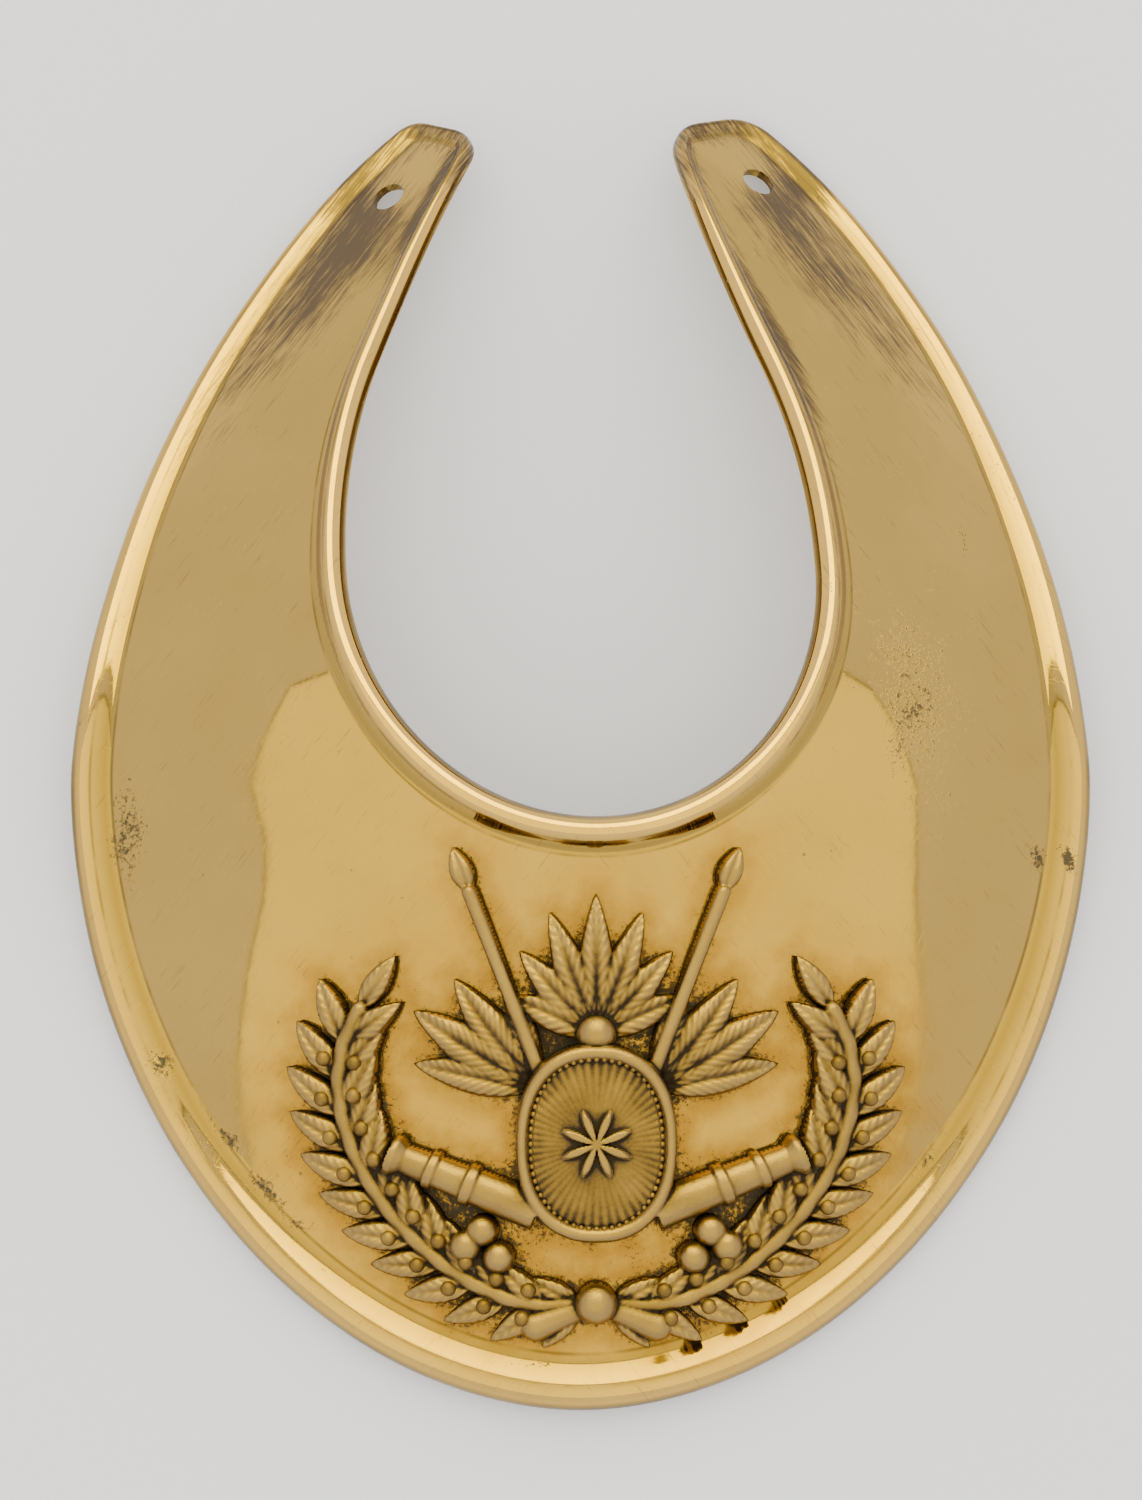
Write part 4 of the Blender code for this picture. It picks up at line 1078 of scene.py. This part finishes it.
# %% Polished gilding of the sheet
GOLD, MOTTLED_GOLD, COVE_SHADE_GOLD, RUBBED_GOLD = "B0904A", "A88945", "8E722A", "D2AA58"
STAIN_ORANGE, CONTACT_SHADE_BROWN, DARK_REFLECTION_BROWN = "A67E34", "74501C", "3E2E18"
TARNISH_GREY, DIRT_AND_SHADOW_BLACK = "463C38", "2A1C12"
STREAK_LEAN, STREAK_SCALE = 52.0, (0.20, 4.6, 1.0)
SPECK_CELLS, CLOSED_DISTANCE, POLISH_LINE = 380.0, 0.0009, 0.0016
# Bands of the rim: their middles and half widths, in widths of the rim
COVE, FOOT_LINE, CREST_LINE_HALF = (0.82, 0.26), (1.01, 0.05), 0.05


def band(finish, share, middle, half):
    """1 at the middle of a band of the rim and 0 at its borders."""
    away = finish.math("ABSOLUTE", finish.math("SUBTRACT", share, middle))
    return finish.span(away, 0.0, half, 1.0, 0.0)


def polished_gilding():
    finish = Finish("polished_fire_gilding")
    times, plus, most = finish.times, finish.plus, finish.most
    span, tint, noise = finish.span, finish.tint, finish.noise
    space = finish.space()
    place, place_x, _, share = finish.parts_of("place")
    # grime also holds the painted shadow along the bottom cove; halo also gives the painted shade beside
    # the casting
    _, grime, halo, tarnish = finish.parts_of("wear_and_shade")
    _, roll, neck, _ = finish.parts_of("rim")
    mottle = noise(space, 0.014, 3.0)
    patch = noise(space, 0.009, 4.0, 0.6)
    cloud = noise(space, 0.004, 5.0, 0.65)
    grain = noise(space, 0.00045, 3.0, 0.7)
    colour = tint(linear(GOLD), MOTTLED_GOLD, span(mottle, 0.35, 0.7))
    orange = times(halo, span(cloud, 0.30, 0.62, 0.15, 1.0), clamp=True)
    colour = tint(colour, STAIN_ORANGE, orange, 0.80)
    # Painted shade: a brown laid on the sheet right beside the casting and in its crowded pockets
    contact_shade = times(span(halo, 0.80, 1.40), span(cloud, 0.25, 0.60, 0.25, 0.70))
    colour = tint(colour, CONTACT_SHADE_BROWN, contact_shade)
    # Painted shade: the cove of the rim is tinted a darker gold. Painted dark reflections: brown lines at
    # its foot, along its crest and on the steep wall at its edge
    colour = tint(colour, COVE_SHADE_GOLD, band(finish, share, *COVE), 0.75)
    colour = tint(colour, RUBBED_GOLD, times(roll, span(patch, 0.30, 0.60, 0.70, 1.0)))
    foot = times(band(finish, share, *FOOT_LINE), span(patch, 0.36, 0.56))
    roll_end = span(neck, 0.0, 1.0, OUTER_ROLL_END, NECK_ROLL_END)
    crest = times(band(finish, share, roll_end, CREST_LINE_HALF), span(patch, 0.42, 0.56))
    wall = times(span(share, 0.03, 0.12, 1.0, 0.0), span(patch, 0.30, 0.55, 0.45, 1.0))
    dark_reflection_lines = most(most(times(foot, 0.65), times(crest, 0.55)), times(wall, 0.80))
    colour = tint(colour, DARK_REFLECTION_BROWN, dark_reflection_lines)
    # Streaks that run down the horns, a fifth of a millimetre apart
    right_streak = noise(finish.stretched(place, STREAK_SCALE, -STREAK_LEAN), 1.0, 6.0, 0.65)
    left_streak = noise(finish.stretched(place, STREAK_SCALE, STREAK_LEAN), 1.0, 6.0, 0.65)
    which = finish.math("GREATER_THAN", place_x, 0.0)
    streak = finish.add("ShaderNodeMix", {0: which, 2: left_streak, 3: right_streak}).outputs[0]
    dark = plus(tarnish, span(streak, 0.30, 0.72, -0.70, 0.60))
    dark = span(plus(dark, span(cloud, 0.30, 0.70, -0.20, 0.20)), 0.25, 1.10)
    colour = tint(colour, TARNISH_GREY, dark, 0.90)
    # Dirt: black where polish never reached, broken into grains; the painted shadow along the bottom cove
    # comes in with it
    closed = finish.add("ShaderNodeAmbientOcclusion", {"Distance": CLOSED_DISTANCE}, samples=4)
    reach = times(span(closed.outputs["AO"], 0.88, 0.48), span(share, 0.90, 1.05))
    dirt = plus(times(grime, 0.80), reach)
    dirt = plus(dirt, span(grain, 0.28, 0.72, -0.65, 0.45))
    dirt = plus(dirt, span(cloud, 0.30, 0.70, -0.40, 0.15))
    dirt = span(dirt, 0.30, 0.80)
    # Specks where damp has pitted the gilding, one in a cell of 2.6 mm at most
    cells = finish.add("ShaderNodeTexVoronoi", {"Vector": space, "Scale": SPECK_CELLS, "Randomness": 1.0})
    chosen = finish.add("ShaderNodeSeparateXYZ", {0: cells.outputs["Color"]}).outputs["X"]
    speck = times(span(cells.outputs["Distance"], 0.045, 0.085, 1.0, 0.0), span(chosen, 0.80, 0.84))
    dirt = most(dirt, times(times(speck, span(cloud, 0.42, 0.60)), 0.60))
    worn = most(most(times(dark, 0.30), times(dirt, 0.60)), times(dark_reflection_lines, 0.30))
    base = plus(span(mottle, 0.3, 0.7, 0.045, 0.07), times(orange, 0.08))
    # Fine polishing lines in two directions, a faint unevenness, and the crust of the dirt
    line_a = noise(finish.stretched(space, (0.4, 9.0, 3.0), 64.0), POLISH_LINE, 2.0)
    line_b = noise(finish.stretched(space, (0.4, 8.0, 3.0), -12.0), POLISH_LINE, 2.0)
    normal = finish.bump(plus(span(line_a, 0.62, 0.70), span(line_b, 0.64, 0.72)), 0.000003, 0.25)
    normal = finish.bump(noise(space, 0.003, 2.0), 0.00002, 0.25, normal)
    normal = finish.bump(times(dirt, grain), 0.00010, 0.8, normal)
    colour = tint(colour, DIRT_AND_SHADOW_BLACK, dirt, 0.94)
    metal = finish.metal_under(dirt)
    finish.look({"Base Color": colour, "Metallic": metal, "Roughness": plus(base, worn), "Normal": normal})
    return finish.material


# %% [markdown]
# ### Matte gilding
# The casting was gilt and left as it came from the fire, so that it stands out from the polished sheet. Its
# skin is a fine pebble. Dirt fills what lies lower than its surroundings, and the crowns are rubbed bright.


# %% Matte gilding of the casting
MATTE_GOLD, MATTE_MOTTLE, MATTE_RUBBED = "8C7244", "766038", "9E8250"
RECESS_BROWN, RECESS_BLACK = "553F22", "1E140C"
CREASE_WEIGHT = 2.6


def matte_gilding(name, has_recess):
    finish = Finish(name)
    times, plus, span, tint = finish.times, finish.plus, finish.span, finish.tint
    space = finish.space()
    pebble = finish.noise(space, 0.00028, 3.0, 0.6)
    cloud = finish.noise(space, 0.0032, 4.0, 0.6)
    if has_recess:
        recess = finish.add("ShaderNodeAttribute", attribute_name="recess").outputs["Fac"]
        crease = finish.add("ShaderNodeAttribute", attribute_name="crease").outputs["Fac"]
        depth = plus(recess, times(crease, CREASE_WEIGHT))
    else:
        depth = span(cloud, 0.0, 1.0, -0.20, 0.02)
    rubbed = span(depth, -0.55, -0.15, 1.0, 0.0)
    low = plus(depth, span(cloud, 0.25, 0.75, -0.10, 0.14))
    low = plus(low, span(pebble, 0.3, 0.7, -0.05, 0.05))
    dirt = span(low, 0.06, 0.36)
    colour = tint(linear(MATTE_GOLD), MATTE_MOTTLE, span(cloud, 0.3, 0.7))
    colour = tint(colour, MATTE_RUBBED, rubbed, 0.5)
    colour = tint(colour, RECESS_BROWN, span(low, -0.22, 0.18), 0.70)
    colour = tint(colour, RECESS_BLACK, dirt, 0.92)
    normal = finish.bump(pebble, 0.00006, 0.60)
    normal = finish.bump(finish.noise(space, 0.0007, 4.0, 0.6), 0.00012, 0.50, normal)
    finish.look({"Base Color": colour, "Metallic": finish.metal_under(dirt), "Normal": normal})
    finish.look({"Specular IOR Level": span(dirt, 0.0, 1.0, 0.5, 0.1)})
    finish.look({"Roughness": span(rubbed, 0.0, 1.0, 0.50, 0.36)})
    return finish.material


# %% Plain brass of the pins
def pin_brass():
    finish = Finish("dull_pin_brass")
    cloud = finish.noise(finish.space(), 0.0012, 4.0)
    colour = finish.tint(linear("8C6E3C"), "574226", finish.span(cloud, 0.35, 0.65))
    rough = finish.span(cloud, 0.3, 0.7, 0.32, 0.55)
    finish.look({"Base Color": colour, "Metallic": 1.0, "Roughness": rough})
    return finish.material


gilding = polished_gilding()
cast_gilding = matte_gilding("matte_fire_gilding", True)
bead_gilding = matte_gilding("matte_gilding_beads", False)
brass = pin_brass()
plate.data.materials.clear()
plate.data.materials.append(gilding)
badge.data.materials.clear()
badge.data.materials.append(cast_gilding)
for number in range(1, 5):
    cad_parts[f"badge_pin_{number}"].material_slots[0].material = brass

# %% Add the pearls and berries
tree, radius_socket, finish_socket = ball_tree()
for name, places, radius in (
    ("pearl_border", pearl_places(), PEARL_RADIUS),
    ("laurel_berries", berry_places(), BERRY_RADIUS),
):
    inputs = {radius_socket: radius, finish_socket: bead_gilding}
    balls = ball_mesh(guide_mesh(places), tree, inputs)
    piece = add_piece(name, balls)
    print(name, "triangles:", triangles(balls))

# %% [markdown]
# ## Soft light
# Polished metal shows only what stands round it. One wide warm panel hangs over the gorget and makes the
# bright centre of the sheet; a pale room and floor make its duller sides; a panel beyond the horns draws
# the bright bands along the rims. A black back keeps the room's light from shining through each panel.

# %% Floor, room and panels
UP = Vector((0.0, -math.sin(math.radians(REST_TILT)), math.cos(math.radians(REST_TILT))))
ACROSS = Vector((1.0, 0.0, 0.0))
ALONG = UP.cross(ACROSS)
ORIGIN = Vector(at_rest(np.zeros((1, 3)))[0])
PANELS = (
    # name, place and target along the plate's own axes, width and height, radiance, colour
    ("top_panel", (0.0, -0.40, 1.75), (0.0, -0.40, 0.0), (4.0, 2.7), 2.60, "FFF7AE"),
    ("horn_panel", (0.0, 1.62, 1.20), (0.0, 0.0, 0.0), (2.1, 1.5), 8.5, "FFF162"),
)
SIDES = ((-1, -1), (1, -1), (1, 1), (-1, 1))
BACKING_GAP, BACKING_BORDER, BACKING_COLOUR = 0.01, 0.03, "2A2622"
FLOOR_HALF, FLOOR_GLOW, FLOOR_COLOUR = 3.0, 0.22, "F2F2F2"
ROOM_RADIANCE, ROOM_COLOUR = 1.70, "FCFAF6"


def in_plate(x, y, z):
    """A place given along the plate's own axes, in metres."""
    return ORIGIN + x * ACROSS + y * ALONG + z * UP


def face(item, place, target):
    """Puts a part of the studio in place; it lights metal, and the floor keeps the room's even light."""
    item.location = place
    item.rotation_euler = (target - place).to_track_quat("-Z", "Y").to_euler()
    item.visible_diffuse = False


def board(name, draft, finish_name, inputs):
    """A flat piece of the studio with a rough finish of its own."""
    finish = Finish(finish_name)
    finish.look({"Roughness": 0.9, **inputs})
    data = mesh_of(name, draft)
    data.materials.append(finish.material)
    return add_object(name, data)


def add_backing(name, place, target, size):
    """The black back of a panel, seen only in reflections, where its border draws a thin line."""
    draft = bmesh.new()
    half = [length / 2.0 + BACKING_BORDER for length in size]
    draft.faces.new([draft.verts.new((x * half[0], y * half[1], 0.0)) for x, y in SIDES])
    item = board(f"{name}_backing", draft, "black_backing", {"Base Color": linear(BACKING_COLOUR)})
    item.visible_shadow = False
    item.visible_camera = False
    face(item, place - BACKING_GAP * (target - place).normalized(), target)


def add_panel(name, place, target, size, radiance, colour):
    """A soft panel that faces its target and looks as bright as `radiance`."""
    add_backing(name, place, target, size)
    light = bpy.data.lights.new(name, "AREA")
    light.shape = "RECTANGLE"
    light.size, light.size_y = size
    light.energy = radiance * math.pi * size[0] * size[1]
    light.color = linear(colour)[:3]
    face(add_object(name, light), place, target)


def add_floor():
    draft = bmesh.new()
    bmesh.ops.create_grid(draft, x_segments=1, y_segments=1, size=FLOOR_HALF)
    glow = {"Emission Color": linear("FFFFFF"), "Emission Strength": FLOOR_GLOW}
    item = board("pale_floor", draft, "pale_floor", {"Base Color": linear(FLOOR_COLOUR), **glow})


def add_room():
    world = bpy.context.scene.world or bpy.data.worlds.new("room")
    bpy.context.scene.world = world
    world.use_nodes = True
    air = world.node_tree.nodes["Background"].inputs
    air["Color"].default_value = linear(ROOM_COLOUR)
    air["Strength"].default_value = ROOM_RADIANCE


add_floor()
add_room()
for name, place, target, size, radiance, colour in PANELS:
    add_panel(name, in_plate(*place), in_plate(*target), size, radiance, colour)
print("panels:", [panel[0] for panel in PANELS])

# %% [markdown]
# ## Camera
# The camera looks square at the plate, as in the photo, so it is above the gorget and a little below its
# lower edge. Its lens and shifts are worked out from the size of the photo and the place of the plate's
# own origin in it.

# %% Camera
CAMERA_DISTANCE = 1.5
SENSOR = 0.036
PHOTO_WIDTH, PHOTO_HEIGHT = 1142, 1500
PHOTO_SCALE = 0.1045 * MM
PLATE_ORIGIN_X, PLATE_ORIGIN_Y = 580.6, 785.4


def add_camera():
    data = bpy.data.cameras.new("photo_camera")
    data.sensor_fit = "HORIZONTAL"
    data.sensor_width = SENSOR / MM
    data.lens = SENSOR / MM * CAMERA_DISTANCE / (PHOTO_SCALE * PHOTO_WIDTH)
    data.shift_x = (PHOTO_WIDTH / 2.0 - PLATE_ORIGIN_X) / PHOTO_WIDTH
    data.shift_y = (PLATE_ORIGIN_Y - PHOTO_HEIGHT / 2.0) / PHOTO_WIDTH
    data.dof.use_dof = False
    item = add_object("photo_camera", data)
    item.location = in_plate(0.0, 0.0, CAMERA_DISTANCE)
    item.rotation_euler = (-UP).to_track_quat("-Z", "Y").to_euler()
    bpy.context.scene.camera = item
    return item


print("lens, mm:", round(add_camera().data.lens, 1))
